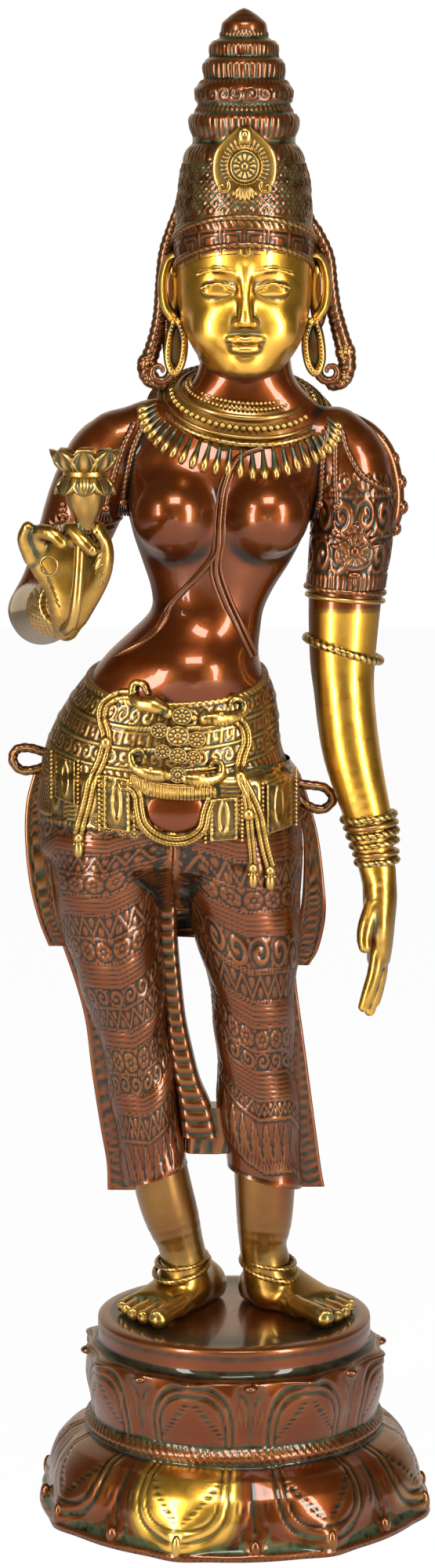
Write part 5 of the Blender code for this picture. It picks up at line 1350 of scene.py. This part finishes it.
def pedestal():
    columns = 416
    turn = turns(columns)
    tip, small = wave(turn, 10), wave(turn + np.pi / 8, 14)
    reach, crease = 9.5 * tip, 3.5 * (1 - wave(turn, 0.7))
    low, up = 117.0, 91.2
    rows = [
        (120.5 + 0.4 * reach, 0.0), (122.5 + 0.4 * reach, 2.25), (120.5 + 0.4 * reach, 4.5),
        (low - 1 + reach + 2.85 * small, 7.2), (low - 1 + 0.75 * reach - 0.5 * crease, 12.6),
        (low - 1 - crease, 22.7), (low - 5 - crease, 34.1), (low - 13 - crease, 44.1), (91, 50), (93, 54.5),
        (89.5, 59), (up - 1 - 0.4 * crease, 65.2), (up + 2 - 0.5 * crease, 78.8),
        (up + 1 - 0.4 * crease + 2.25 * tip, 92), (up - 1 + 7.5 * tip + 3 * small, 100.8), (86.5, 102.5),
        (84.5, 105), (84.5, 118.4), (82.9, 120), (60, 120), (30, 120), (0.5, 120),
    ]
    radius, level = [], []
    for (r0, z0), (r1, z1) in zip(rows[:-1], rows[1:]):
        count = max(1, int(round(math.hypot(np.mean(r1) - np.mean(r0), z1 - z0)
                                 / (1.35 if z1 < 119.9 or z0 < 119 else 6))))
        for k in range(count):
            radius.append(r0 + (r1 - r0) * k / count + 0 * turn[0])
            level.append(z0 + (z1 - z0) * k / count)
    radius.append(rows[-1][0] + 0 * turn[0])
    level.append(120.0)
    radius = np.array([np.broadcast_to(np.ravel(r), (columns,)) for r in radius])
    level = np.array(level)[:, None] + 0 * turn
    full = level[:, :1]
    swept = ((full > 6) & (full < 49)) | ((full > 60) & (full < 99))
    for k in range(14):
        even = 0.5 * radius[1:-1] + 0.25 * (radius[:-2] + radius[2:])
        radius[1:-1] = np.where(swept[1:-1] | (k < 2), even, radius[1:-1])
    grid = np.stack([radius * np.sin(turn), -radius * np.cos(turn), level], -1)
    height = np.zeros_like(radius)
    gold = np.full_like(radius, 0.03)
    green = np.full_like(radius, 0.15)
    phase = (turn - PETAL_TURN) / (2 * np.pi / 8)
    n = np.round(phase)
    a = 2 * (phase - n) + 0 * level
    lower = (level > 5) & (level < 50) & (radius > 88)
    b = (level - 5) / 45
    dash = 0.5 + 0.5 * np.cos(level * 2.1) > 0.4
    eye = 0.8 * engrave(np.hypot(a / 0.05, (b - 0.2) / 0.07), 1.0)
    carve, fans, dome = lotus_row(a, b, dash, (0.92, 0.66, 0.78, 0.95, 0.13),
                                  (0.92, 0.54, 0.64, 0.75, 0.12),
                                  (0.3, 0.85, 0.7, 0.045, 0.32, 0.4, 0.92, 0.85), (0.8, 46),
                                  (3.4, 0.84, 2.4))
    height = np.where(lower, carve + eye + dome * 0.75 - 1.0 + 0.6 * fans, height)
    upper = (level > 59.5) & (level < 101.5)
    c = (101.5 - level) / 42
    carve, fans, dome = lotus_row(a, c, dash, (0.95, 0.7, 0.86, 0.9, 0.12), (0.95, 0.58, 0.74, 0.7, 0.12),
                                  (0.25, 0.8, 0.6, 0.05, 0.28, 0.36, 0.9, 0.82), (0.7, 40),
                                  (2.4, 0.86, 2.6))
    height = np.where(upper, carve + dome * 0.7 - 0.8 + 0.6 * fans, height)
    roped = (level > 50) & (level < 59.2) & (radius > 86)
    height = np.where(roped, np.abs(np.cos(62 * turn + level * 0.5)) - 0.4, height)
    foot_rope = (level > 0.3) & (level < 5) & (radius > 100)
    height = np.where(foot_rope, -0.9 + 0.7 * np.abs(np.cos(90 * turn + level * 0.6)), height)
    grid = grid + sheet_normals(grid, True) * height[..., None]
    degrees = 28.5 + 45 * n
    inside = ease(1.12, 0.5, (np.abs(a) / 0.84) ** 3 + ((0.85 - b) / 0.98) ** 3)
    for at, shine in ((-16.5, 0.95), (73.5, 0.15), (-61.5, 0.1)):
        gold = np.where(lower, gold + (np.abs((degrees - at + 180) % 360 - 180) < 5) * shine * inside, gold)
    for where, damp in ((lower & (b < 0.25), 0.55), (roped, 0.8), (upper, 0.3)):
        green = np.where(where, damp, green)
    gold = np.where(level > 119.5, 0.0, gold)
    drawn = grid.copy()
    drawn[..., 2] = grid[..., 2] + FLOOR
    bag = Bag()
    bag.grid(drawn, gold, green, True)
    for k in range(8):
        for shift, reach, tall, wide, high in ((0, 122.3, 8.5, 3.4, 7.5), (22.5, 117.8, 7.5, 3.8, 5.5)):
            at = math.radians(28.5 + 45 * k + shift)
            shine = 0.75 if k == 7 and shift == 0 else 0.1
            turned = [(math.cos(at), math.sin(at), 0), (math.sin(at), -math.cos(at), 0), (0, 0, 1)]
            bag.egg((reach * math.sin(at), -reach * math.cos(at), tall + FLOOR), (wide, 3.4, high), 14,
                    shine, 0.2, turned)
        at = math.radians(28.5 + 22.5 + 45 * k)
        bag.egg((91 * math.sin(at), -91 * math.cos(at), 98 + FLOOR), (4.6, 4.6, 2.6), 14, 0.0, 0.2)
    floor_ring = drawn[0]
    bag.grid(np.stack([np.repeat([[0.0, 0.0, FLOOR]], columns, 0), floor_ring]), 0.1, 0.1, True)
    return bag


# Jewellery

def ring_points(centre, out, deep, tilt):
    a = around(108)
    return np.stack([centre[0] + out * np.sin(a), centre[1] - deep * np.cos(a),
                     centre[2] + tilt * np.sin(a)], 1)


def collar():
    bag = Bag()
    for half, deep, level, slope, radius, twist, pitch, gold, green in (
            (31.5, 24.2, 571, 9, 1.4, -1, 2.7, 0.35, 0.2),
            (34, 25.6, 569.5, 11, 1.4, -1, 2.7, 0.35, 0.2),
            (38, 27.4, 567, 13.5, 2.0, 0, 5, 0.3, 0.9),
            (43, 29, 564.5, 17, 2.2, -1, 4.2, 0.4, 0.4),
            (47, 30.6, 562, 20, 1.2, 0, 5, 0.4, 0.7),
            (50, 31.6, 560, 22, 1.6, 0.35, 3.2, 0.4, 0.6)):
        a = around(160)
        x = half * np.sin(a)
        path = np.stack([5 + x, 3 - deep * np.cos(a), level - slope * np.cos(a) - 0.08 * x], 1)
        if twist < 0:
            bag.chain(np.vstack([path, path[:1]]), radius, pitch, 8, gold, green)
        else:
            bag.tube(path, radius, 9, closed=True, twist=twist, pitch=pitch, gold=gold, green=green)
    a = around(180)
    rows = eased_rows([(25, 19, 4, 572), (38.5, 25, 12, 567.5), (48.5, 28.8, 20, 560.5),
                       (57, 29.6, 26, 555.5)], 6)
    grid = []
    for half, deep, drop, level in rows:
        x = half * np.sin(a)
        grid.append(np.stack([4 + x, 3 - deep * np.cos(a), level - drop * np.cos(a) - 0.08 * x], 1))
    bag.grid(np.array(grid), 0.3, 0.8, True, flip=True)
    for k in range(27):
        turn = math.radians(-92 + 184 * k / 26)
        s, c = math.sin(turn), math.cos(turn)
        x0, z0 = 4 + 51 * s, 556 - 19.5 * c - 0.08 * 51 * s
        x1, z1 = 3 + 61 * s, 550.5 - 32 * c - 0.08 * 60 * s
        path = in_front([(x0 + (x1 - x0) * t, z0 + (z1 - z0) * t) for t in np.linspace(0, 1, 7)], 0.6)
        path[0, 1] = min(path[0, 1], 3 - 31.0 * abs(c) ** 0.5 * 0.9)
        bag.tube(path, np.array([1.1, 1.2, 1.5, 1.9, 2.5, 2.7, 1.6]), 9, gold=0.35, green=0.5)
    return bag


def thread():
    bag = Bag()
    for points in ([(16, 536), (2, 530), (-6, 514), (-9, 494), (-10, 476), (-20, 462), (-36, 444),
                    (-48, 425), (-70, 411.5)],
                   [(-9, 494), (-10, 476), (-11, 462), (-6, 446), (2, 428), (10, 410)]):
        path = evenly(laid(points, 0.5, 8), 1.1)
        bag.tube(path, 1.8, 8, twist=0.3, pitch=2.4, gold=0.05, green=0.6)
        bag.tube(path + (-2.8, 0.7, -1.2), 1.3, 6, gold=0.0)
        bag.tube(path + (2.8, 0.7, 1.2), 1.3, 6, gold=0.0)
    return bag


SHOULDER_EDGE = [(70, 550), (82, 543), (91.5, 531), (96.5, 514), (97, 497), (92, 482)]
SLEEVE_BANDS = [(20, flowers, 12, 0.8, 0), (2.4, beads, 2.4, 0.9, 0), (22, scrolls, 12, 0.8, 0),
                (2.4, beads, 2.4, 0.9, 0), (22, scrolls, 12, 0.8, 0), (12, strokes, 3, 0.8, 0)]


def shoulders():
    bag = Bag()
    strands = [
        [(-60, 550), (-67, 535), (-73, 516), (-77, 500)], [(-55, 548), (-61, 534), (-65, 516), (-67, 503)],
        [(56, 548), (53, 535), (52, 518), (51, 502)], [(61, 548), (60, 536), (60, 518), (61, 501)],
        [(64, 546), (67, 534), (75, 520), (85, 513), (91, 511)],
    ]
    for points in strands:
        path = evenly(laid(points, 0.6, 8), 0.9)
        bag.tube(path, 2.0, 9, twist=0.35, pitch=3.2, gold=0.07, green=0.4)
        x, y, z = path[-1]
        bag.egg((x, y - 0.4, z - 1), (3.2, 2.4, 2.6), 12, 0.1)
        for dx in (-2.2, -0.8, 0.8, 2.2):
            bag.tube(np.array([(x + dx * 0.6, y - 0.6, z - 2), (x + dx, y - 0.4, z - 5),
                               (x + dx * 1.4, y + 0.2, z - 9)]), 0.85, 6, gold=0.1)
    path = eased_rows(RIGHT_ARM, 22)
    path = path[(path[:, 2] < 528) & (path[:, 2] > 449)]
    a = turns(164)
    level = path[:, 2][:, None] + 0 * a
    height, _ = relief(a * 23 + 0 * level, 528 - level, SLEEVE_BANDS)
    lift = 0.9 - 2.5 * ease(512, 526, level)
    grid = np.stack([path[:, :1] + (path[:, 3:4] + lift) * np.sin(a),
                     path[:, 1:2] - (path[:, 4:5] + lift) * np.cos(a), level], -1)
    bag.grid(grid - sheet_normals(grid, True) * height[..., None], 0.0, 0.15, True, flip=True)
    for side in (-1, 1):
        shift = -5 if side < 0 else 0
        edge = [(side * x + shift, 8, z) for x, z in SHOULDER_EDGE]
        bag.tube(eased_rows(edge, 8), 5.2, 12, gold=0.05, green=0.3)
        for x, z, r in ((76, 547, 4.2), (87, 539, 4.4), (95.5, 527, 4.6), (99.5, 513, 5), (100.5, 498, 5),
                        (97, 485, 4.4)):
            spot = (side * x + shift, 8, z)
            bag.egg(spot, (r * 0.92, r, r), 12, 0.0, 0.3)
            for a in around(8):
                bag.egg((spot[0] + 0.62 * r * math.cos(a), spot[1] - 0.82 * r,
                         spot[2] + 0.62 * r * math.sin(a)), (0.9, 0.8, 0.9), 6, 0.15)
    for x, z, half, tall in ((72, 473, 11.5, 12), (-103, 481, 10.5, 11)):
        y = front_y(x, z, -16)
        medal(bag, (x, y + 1.2, z), half, tall, rosette(14, 0.25), 0.08, 0.4, 2.0, curve=0.012)
        for k in range(9):
            a = math.radians(-75 + 150 * k / 8)
            path = [(x + half * 0.95 * math.sin(a), y - 1.0, z + tall * 0.95 * math.cos(a)),
                    (x + half * 1.2 * math.sin(a), y - 0.6, z + tall * 1.22 * math.cos(a)),
                    (x + half * 1.42 * math.sin(a) + 1.0, y + 0.4, z + tall * 1.46 * math.cos(a))]
            bag.tube(eased_rows(path, 3), np.linspace(1.9, 0.7, 7), 7, gold=0.07, green=0.4)
        for k, size in enumerate((3.6, 2.7, 1.8)):
            bag.egg((x, y - 0.6, z + tall + 3 + 3.2 * k), (size, 1.8, 2.0), 12, 0.1)
        bag.egg((x, y - 0.8, z - tall - 2), (4.6, 2.0, 2.4), 12, 0.1)
        bag.egg((x, y - 0.4, z - tall - 6), (1.8, 1.5, 4.0), 10, 0.1)
    for centre, out, deep, tilt, radius, twist, gold, green in (
            ((67, 7, 448.5), 23.2, 22.4, -2, 1.9, 0.35, 0.1, 0.6),
            ((67, 7, 443.5), 23.0, 22.2, -2, 1.6, 0, 0.3, 1.0),
            ((66, 7, 412), 22.2, 21.9, -7, 2.6, 0.4, 0.6, 0.2),
            ((81.5, -5.9, 311), 15.4, 14.8, 2, 2.2, 0.35, 0.5, 0.6),
            ((82.8, -6.2, 306), 15.2, 14.4, 2, 1.9, 0, 0.3, 0.9),
            ((84.0, -6.6, 301), 14.3, 13.6, 2, 2.2, 0.35, 0.5, 0.5),
            ((85, -6.9, 295), 13.6, 12.9, 2, 2.0, 0.3, 0.5, 0.5),
            ((86, -7.2, 289), 12.8, 12.1, 1, 1.8, 0, 0.3, 0.9),
            ((86.6, -7.4, 284), 12.1, 11.4, 1, 2.1, 0.35, 0.5, 0.5),
            ((-94, 6.5, 486), 24.6, 23.6, 6, 2.0, 0.35, 0.1, 0.5),
            ((-96, 6.7, 481), 24.2, 23.2, 6, 1.6, 0, 0.2, 0.8),
            ((-104, 8, 460), 22.0, 21.5, 8, 2.2, 0.35, 0.1, 0.5)):
        bag.tube(ring_points(centre, out, deep, tilt), radius, 9, closed=True, twist=twist, pitch=4.2,
                 gold=gold, green=green)
    return bag


def plaque(bag, x, top, bottom, half, tilt):
    """An upright plate on the hips' front with a beaded border and a keyhole loop."""
    u = np.linspace(-1, 1, 31)[None, :]
    v = np.linspace(-1, 1, 55)[:, None]
    across = x + half * u + 0 * v
    level = 0.5 * (top + bottom) - 0.5 * (top - bottom) * v + tilt * half * u
    rim = np.maximum(np.abs(u), np.abs(v))
    border = 0.5 * np.abs(np.cos(15 * v)) * (np.abs(u) > 0.76)
    border = border + 0.5 * np.abs(np.cos(7.5 * u)) * (np.abs(v) > 0.9)
    ring = np.exp(-((np.hypot(u / 0.3, (v + 0.05) / 0.66) - 1) / 0.22) ** 2)
    edge = ease(1.0, 0.93, rim)
    lift = (3.0 + border + 0.7 * ring * (border == 0)) * edge - 1.5 * (1 - edge)
    deep = np.array([[front_y(p, q, 20) for p, q in zip(*pair)] for pair in zip(across[::6], level[::6])])
    deep = np.array([np.interp(np.arange(55), np.arange(0, 55, 6), deep[:, k]) for k in range(31)]).T
    for _ in range(4):
        deep[:, 1:-1] = 0.5 * deep[:, 1:-1] + 0.25 * (deep[:, :-2] + deep[:, 2:])
    bag.grid(np.stack([across, deep - lift, level], -1), 0.52, 0.12, flip=True)
    for side in (-1, 1):
        path = in_front([(x + side * half * 1.28, z + side * half * tilt)
                         for z in np.linspace(top, bottom, 9)], 1.2)
        bag.chain(path, 1.3, 2.6, 7, 0.45, 0.3)


LEFT_TASSEL = [(-59, 390), (-69.7, 389), (-77.5, 384), (-79.6, 376), (-77, 366), (-78, 357), (-80.5, 349),
               (-85.6, 338), (-88.6, 325), (-92, 313), (-93.6, 306)]
RIGHT_TASSEL = [(0, 376), (5.5, 370), (7.2, 361), (4.2, 351), (3.6, 341), (9.6, 329), (14.3, 317),
                (16.6, 305), (19, 294), (21.3, 286)]
SHORT_TASSEL = [(4, 345), (5.5, 336), (8, 322), (9.3, 308), (10.5, 296), (11, 288)]


def hip_ornaments():
    bag = Bag()
    for x, top, bottom, half, tilt in ((-102, 351, 324, 6.5, -0.25), (-70.5, 342, 308, 8.2, -0.15),
                                       (-6.5, 329, 302, 8.6, 0.08), (27, 338, 306, 8, 0.2)):
        plaque(bag, x, top, bottom, half, tilt)

    def limb(points, sizes, lift, gold=0.5, green=0.2, twist=0.12, pitch=3.2):
        path = laid(points, lift, 5)
        radius = np.interp(np.linspace(0, 1, len(path)), np.linspace(0, 1, len(sizes)), sizes)
        bag.tube(path, 1.12 * radius, 9, twist=twist, pitch=pitch, gold=gold + 0.12, green=green)

    def paired(points, lift, radius, gold=0.47, green=0.3):
        path = laid(points, lift, 8)
        way = np.gradient(path, axis=0)
        side = np.stack([-way[:, 2], 0 * way[:, 0], way[:, 0]], 1)
        side /= np.linalg.norm(side, axis=1)[:, None]
        for k in (-1, 1):
            bag.tube(evenly(path + side * k * radius * 0.95, 0.9), radius, 7, twist=0.16, pitch=2.2,
                     gold=gold, green=green)
        return path

    for points, sizes in (
            ([(-52, 390), (-55, 396), (-60, 396), (-61, 389), (-56, 385), (-48, 384), (-38, 379)],
             (1.2, 1.9, 2.3, 2.8, 3.8, 4.8, 3.6)),
            ([(-3, 383), (0, 387), (5, 385), (5, 379), (-2, 376), (-11, 376), (-20, 376)],
             (1.2, 1.9, 2.3, 2.8, 3.8, 4.6, 3.4)),
            ([(-53, 353), (-57, 358), (-62, 355), (-60, 348), (-53, 344.5), (-45, 343), (-38, 343)],
             (1.1, 1.7, 2.2, 2.8, 3.8, 4.4, 3.0)),
            ([(-15, 347), (-12, 350.5), (-8, 348), (-9, 342), (-16, 339.5), (-23, 340), (-31, 341)],
             (1.1, 1.7, 2.2, 2.8, 3.8, 4.4, 3.0))):
        limb(points, sizes, 2.2)
    for x, z in ((-48, 387), (-8, 379), (-50, 347), (-19, 342.5)):
        y = front_y(x, z, -40) - 5.6
        bag.egg((x, y, z), (1.7, 1.3, 1.7), 10, 0.6)
        for k in range(4):
            limb([(x - 3 + 2.1 * k, z - 1), (x - 2.4 + 2.1 * k, z - 4), (x - 3.4 + 2.1 * k, z - 6.5)],
                 (0.5, 0.9, 0.5), 5.4, 0.6)
    for x, z, size in ((-38.6, 379.5, 2.4), (-24.2, 376.8, 2.4)):
        bag.egg((x, front_y(x, z, -40) - 2.4, z), (size,) * 3, 12, 0.5)
    for x, z, r in ((-31.4, 378, 5.6), (-45, 369.5, 4.8), (-34, 366.2, 6.3), (-22.6, 363.8, 5.0),
                    (-43, 357, 4.4), (-34, 354.6, 4.8), (-24.8, 353, 4.4)):
        y = front_y(x, z, -44)
        medal(bag, (x, y - 0.4, z), 1.1 * r, r * 0.95, rosette(9, 0.36), 0.62, 0.1, 2.6, rings=16,
              spokes=54)
    medal(bag, (-34, front_y(-34, 343, -44) - 1.5, 343), 5.2, 5.0, rosette(11, 0.4), 0.55, 0.2, 2.2,
          rings=16, spokes=54)
    fringe_top = eased_rows([(-62, 342), (-55, 340), (-44, 337), (-34, 336), (-23, 335.5), (-12, 334.5)], 5)
    fringe_low = eased_rows([(-61, 337), (-53.5, 331.5), (-44, 329), (-34, 328), (-23, 327.5), (-12, 329)],
                            5)
    for (x0, z0), (x1, z1) in zip(fringe_top, fringe_low):
        limb([(x0, z0), (0.5 * (x0 + x1), 0.5 * (z0 + z1)), (x1, z1)], (1.0, 1.35, 1.0), 2.6, 0.5, 0.3, 0.0)
    paired(fringe_top[::4], 3.0, 0.8)
    bag.egg((-36, front_y(-36, 318, -44) + 2.5, 320), (19.5, 4.5, 14), 40, 0.0)
    paired([(-68, 336), (-61.5, 335), (-58, 330), (-57, 322), (-54.5, 313), (-47.5, 306), (-37, 302.5),
            (-27, 304), (-19.5, 310), (-17, 320), (-14, 328)], 2.4, 1.8)
    for points, radius in ((LEFT_TASSEL, 1.9), (RIGHT_TASSEL, 1.9), (SHORT_TASSEL, 1.3)):
        path = paired(points, 2.2, radius)
        spot = path[int(0.45 * len(path))]
        bag.egg(spot, (4.0, 3.4, 4.2), 14, 0.5, 0.3)
        x, y, z = path[-1]
        bag.egg((x, y - 0.4, z - 2.5), (3.4, 3.0, 3.4), 14, 0.5)
        bag.egg((x, y - 0.2, z - 9), (3.0, 2.6, 6.5), 14, 0.42, 0.2)
        bag.chain([(x - 2.6, y - 2.4, z - 6), (x + 2.6, y - 2.4, z - 6)], 0.9, 1.7, 6, 0.5)
    for x, z in ((-83, 314), (-75, 310), (-67, 308), (-60, 306.5)):
        medal(bag, (x, front_y(x, z, -40) + 0.4, z), 3.4, 3.2, rosette(8, 0.4), 0.4, 0.3, 1.6, rings=12,
              spokes=40)
    return bag


# Finishes

def brass(name, brown_gloss):
    """Cast brass: near black in its recesses as painted shade, lighter where it stands out as rubbed wear
    and painted highlight, green where it is left damp.
    """
    material = bpy.data.materials.new(name)
    material.use_nodes = True
    tree = material.node_tree
    shader = tree.nodes["Principled BSDF"]

    def node(kind, **values):
        made = tree.nodes.new(kind)
        for key, value in values.items():
            setattr(made, key, value)
        return made

    def mark(label):
        return node("ShaderNodeAttribute", attribute_type="GEOMETRY", attribute_name=label).outputs["Fac"]

    def feed(socket, value):
        if isinstance(value, tuple):
            socket.default_value = (*value, 1)
        elif isinstance(value, float):
            socket.default_value = value
        else:
            tree.links.new(value, socket)

    def spread(value, low, high, out_low=0.0, out_high=1.0):
        made = node("ShaderNodeMapRange", interpolation_type="SMOOTHSTEP")
        for socket, number in zip(made.inputs, (value, low, high, out_low, out_high)):
            feed(socket, number)
        return made.outputs["Result"]

    def mix(share, first, second):
        """Blends two colours."""
        made = node("ShaderNodeMix", data_type="RGBA")
        for k, value in ((0, share), (6, first), (7, second)):
            feed(made.inputs[k], value)
        return made.outputs[2]

    def mixed(share, first, second):
        """Blends two numbers."""
        made = node("ShaderNodeMix", data_type="FLOAT")
        for k, value in ((0, share), (2, first), (3, second)):
            feed(made.inputs[k], value)
        return made.outputs[0]

    def maths(operation, first, second, clamp=False):
        made = node("ShaderNodeMath", operation=operation, use_clamp=clamp)
        for socket, value in zip(made.inputs, (first, second)):
            feed(socket, value)
        return made.outputs[0]

    where = node("ShaderNodeTexCoord").outputs["Object"]

    def noise(scale, detail=3.0):
        made = node("ShaderNodeTexNoise")
        for key, value in (("Scale", scale), ("Detail", detail), ("Vector", where)):
            feed(made.inputs[key], value)
        return made.outputs["Fac"]

    gold, green, depth = mark("gold"), mark("green"), mark("depth")
    blotch, grain, fine = noise(22.0), noise(160.0), noise(1100.0, 2.0)
    # raised marks what stands out; the colours below grow lighter there, partly rubbed wear and partly
    # painted highlight
    raised = spread(depth, 0.0, 0.32)
    # sunk marks recesses; the colours below turn near black there, a painted shade
    sunk = spread(depth, 0.0, -0.3)
    shine = maths("ADD", gold, maths("MULTIPLY", maths("SUBTRACT", blotch, 0.5), 0.5), True)
    brown = mix(raised, (0.13, 0.026, 0.002), (0.155, 0.048, 0.01))
    brown = mix(sunk, brown, (0.012, 0.006, 0.0025))
    antique = mix(raised, (0.22, 0.115, 0.018), (0.44, 0.265, 0.06))
    antique = mix(sunk, antique, (0.024, 0.019, 0.008))
    bright = mix(raised, (0.63, 0.325, 0.036), (0.74, 0.43, 0.075))
    bright = mix(sunk, bright, (0.12, 0.07, 0.010))
    metal = mix(spread(shine, 0.08, 0.5), brown, antique)
    metal = mix(spread(shine, 0.55, 0.95), metal, bright)
    damp = maths("MULTIPLY", green, maths("MULTIPLY", spread(depth, 0.02, -0.18), spread(grain, 0.3, 0.6)),
                 True)
    damp = maths("MULTIPLY", damp, 0.8)
    colour = mix(damp, metal, (0.08, 0.115, 0.045))
    solid = mixed(spread(shine, 0.1, 0.6), 0.8, 0.97)
    rough = mixed(spread(shine, 0.1, 0.7), brown_gloss, 0.3)
    rough = maths("ADD", rough, maths("MULTIPLY", maths("SUBTRACT", grain, 0.5), 0.16))
    rough = maths("ADD", rough, maths("MULTIPLY", sunk, 0.18), True)
    bumped = node("ShaderNodeBump")
    for key, value in (("Strength", 0.08), ("Distance", 0.0006),
                       ("Height", maths("ADD", fine, maths("MULTIPLY", grain, 1.5)))):
        feed(bumped.inputs[key], value)
    for key, value in (("Base Color", colour), ("Metallic", mixed(damp, solid, 0.3)), ("Roughness", rough),
                       ("Coat Weight", 0.5), ("Coat Roughness", 0.06), ("Specular IOR Level", 0.3),
                       ("Normal", bumped.outputs["Normal"])):
        feed(shader.inputs[key], value)
    return material


figure_brass = brass("figure_brass", 0.31)
pedestal_brass = brass("pedestal_brass", 0.33)

# contrast: how strongly each piece shows its painted shade in recesses and painted highlight on raised
# points
for name, bag, contrast in (
        ("torso", body, 1.0), ("left_leg_cloth", left_cloth, 2.0), ("right_leg_cloth", right_cloth, 2.0),
        ("belt", belt, 1.0), ("head", head(), 1.0), ("head_sides", head_sides(), 1.5),
        ("crown", crown(), 1.7), ("crown_plaque", crown_plaque(), 1.0), ("left_foot", left_foot, 1.0),
        ("right_foot", right_foot, 1.0), ("left_hand", left_hand(), 1.0), ("right_hand", right_hand(), 1.0),
        ("lotus", lotus(), 1.0), ("loose_cloth", loose_cloth(), 1.6), ("collar", collar(), 1.0),
        ("thread", thread(), 1.0), ("shoulder_ornaments", shoulders(), 1.4),
        ("hip_ornaments", hip_ornaments(), 1.0)):
    emit(name, bag, "figure", figure_brass, contrast)
emit("lotus_base", pedestal(), "pedestal", pedestal_brass, 1.0)


# Stage: a white floor, the room, softboxes and the camera

# How far the floor looks as white as paper to the camera
PAPER_SHARE = 0.96
FIELD_OF_VIEW = math.radians(22.45)
CAMERA_RISE = math.radians(8.5)
CAMERA_DISTANCE = 2.4
AIM = Vector((-0.0103, 0, 0.45))


def plane(name, corners, colour):
    mesh = bpy.data.meshes.new(name)
    mesh.from_pydata(corners, [], [(0, 1, 2, 3)])
    made = bpy.data.objects.new(name, mesh)
    bpy.context.scene.collection.objects.link(made)
    white = bpy.data.materials.new(name)
    white.use_nodes = True
    shader = white.node_tree.nodes["Principled BSDF"]
    shader.inputs["Base Color"].default_value = colour
    shader.inputs["Roughness"].default_value = 0.9
    tree = white.node_tree
    glow = tree.nodes.new("ShaderNodeEmission")
    seen = tree.nodes.new("ShaderNodeLightPath")
    share = tree.nodes.new("ShaderNodeMath")
    share.operation = "MULTIPLY"
    share.inputs[1].default_value = PAPER_SHARE
    both = tree.nodes.new("ShaderNodeMixShader")
    for out, into in ((seen.outputs["Is Camera Ray"], share.inputs[0]), (share.outputs[0], both.inputs[0]),
                      (shader.outputs[0], both.inputs[1]), (glow.outputs[0], both.inputs[2]),
                      (both.outputs[0], tree.nodes["Material Output"].inputs["Surface"])):
        tree.links.new(out, into)
    mesh.materials.append(white)
    return made


floor = plane("floor", [(-4, -3, 0), (4, -3, 0), (4, 5, 0), (-4, 5, 0)], (0.95, 0.95, 0.95, 1))

world = bpy.data.worlds.new("studio")
bpy.context.scene.world = world
world.use_nodes = True
sky = world.node_tree
paper = sky.nodes["Background"]
paper.inputs["Color"].default_value = (1, 1, 1, 1)
paper.inputs["Strength"].default_value = 1.0
room = sky.nodes.new("ShaderNodeBackground")
room.inputs["Color"].default_value = (1, 0.87, 0.68, 1)
look = sky.nodes.new("ShaderNodeTexCoord")
apart = sky.nodes.new("ShaderNodeSeparateXYZ")
behind = sky.nodes.new("ShaderNodeMapRange")
behind.interpolation_type = "SMOOTHSTEP"
for key, number in (("From Min", 0.35), ("From Max", 0.9), ("To Min", 0.08), ("To Max", 0.85)):
    behind.inputs[key].default_value = number
path = sky.nodes.new("ShaderNodeLightPath")
either = sky.nodes.new("ShaderNodeMixShader")
for out, into in ((look.outputs["Generated"], apart.inputs[0]),
                  (apart.outputs["Y"], behind.inputs["Value"]),
                  (behind.outputs["Result"], room.inputs["Strength"]),
                  (path.outputs["Is Camera Ray"], either.inputs[0]), (room.outputs[0], either.inputs[1]),
                  (paper.outputs[0], either.inputs[2]),
                  (either.outputs[0], sky.nodes["World Output"].inputs["Surface"])):
    sky.links.new(out, into)


def softbox(name, spot, aim, wide, tall, power):
    data = bpy.data.lights.new(name, "AREA")
    data.shape = "RECTANGLE"
    data.size, data.size_y = wide, tall
    data.energy = power
    lamp = bpy.data.objects.new(name, data)
    bpy.context.scene.collection.objects.link(lamp)
    lamp.location = spot
    lamp.rotation_euler = (Vector(aim) - Vector(spot)).to_track_quat("-Z", "Y").to_euler()


softbox("left_strip", (-1.45, -1.6, 0.8), (0, 0, 0.45), 0.45, 1.7, 52)
softbox("right_strip", (1.45, -1.6, 0.8), (0, 0, 0.45), 0.45, 1.7, 52)
softbox("top_front", (0.1, -1.5, 2.0), (0, 0, 0.6), 0.9, 0.55, 30)
bpy.context.scene.view_settings.view_transform = "Standard"

lens = bpy.data.cameras.new("camera")
lens.sensor_width = 36
lens.lens = 18 / math.tan(FIELD_OF_VIEW / 2)
camera = bpy.data.objects.new("camera", lens)
bpy.context.scene.collection.objects.link(camera)
back = Vector((0, -math.cos(CAMERA_RISE), math.sin(CAMERA_RISE)))
camera.location = AIM + CAMERA_DISTANCE * back
camera.rotation_euler = (AIM - camera.location).to_track_quat("-Z", "Y").to_euler()
bpy.context.scene.camera = camera
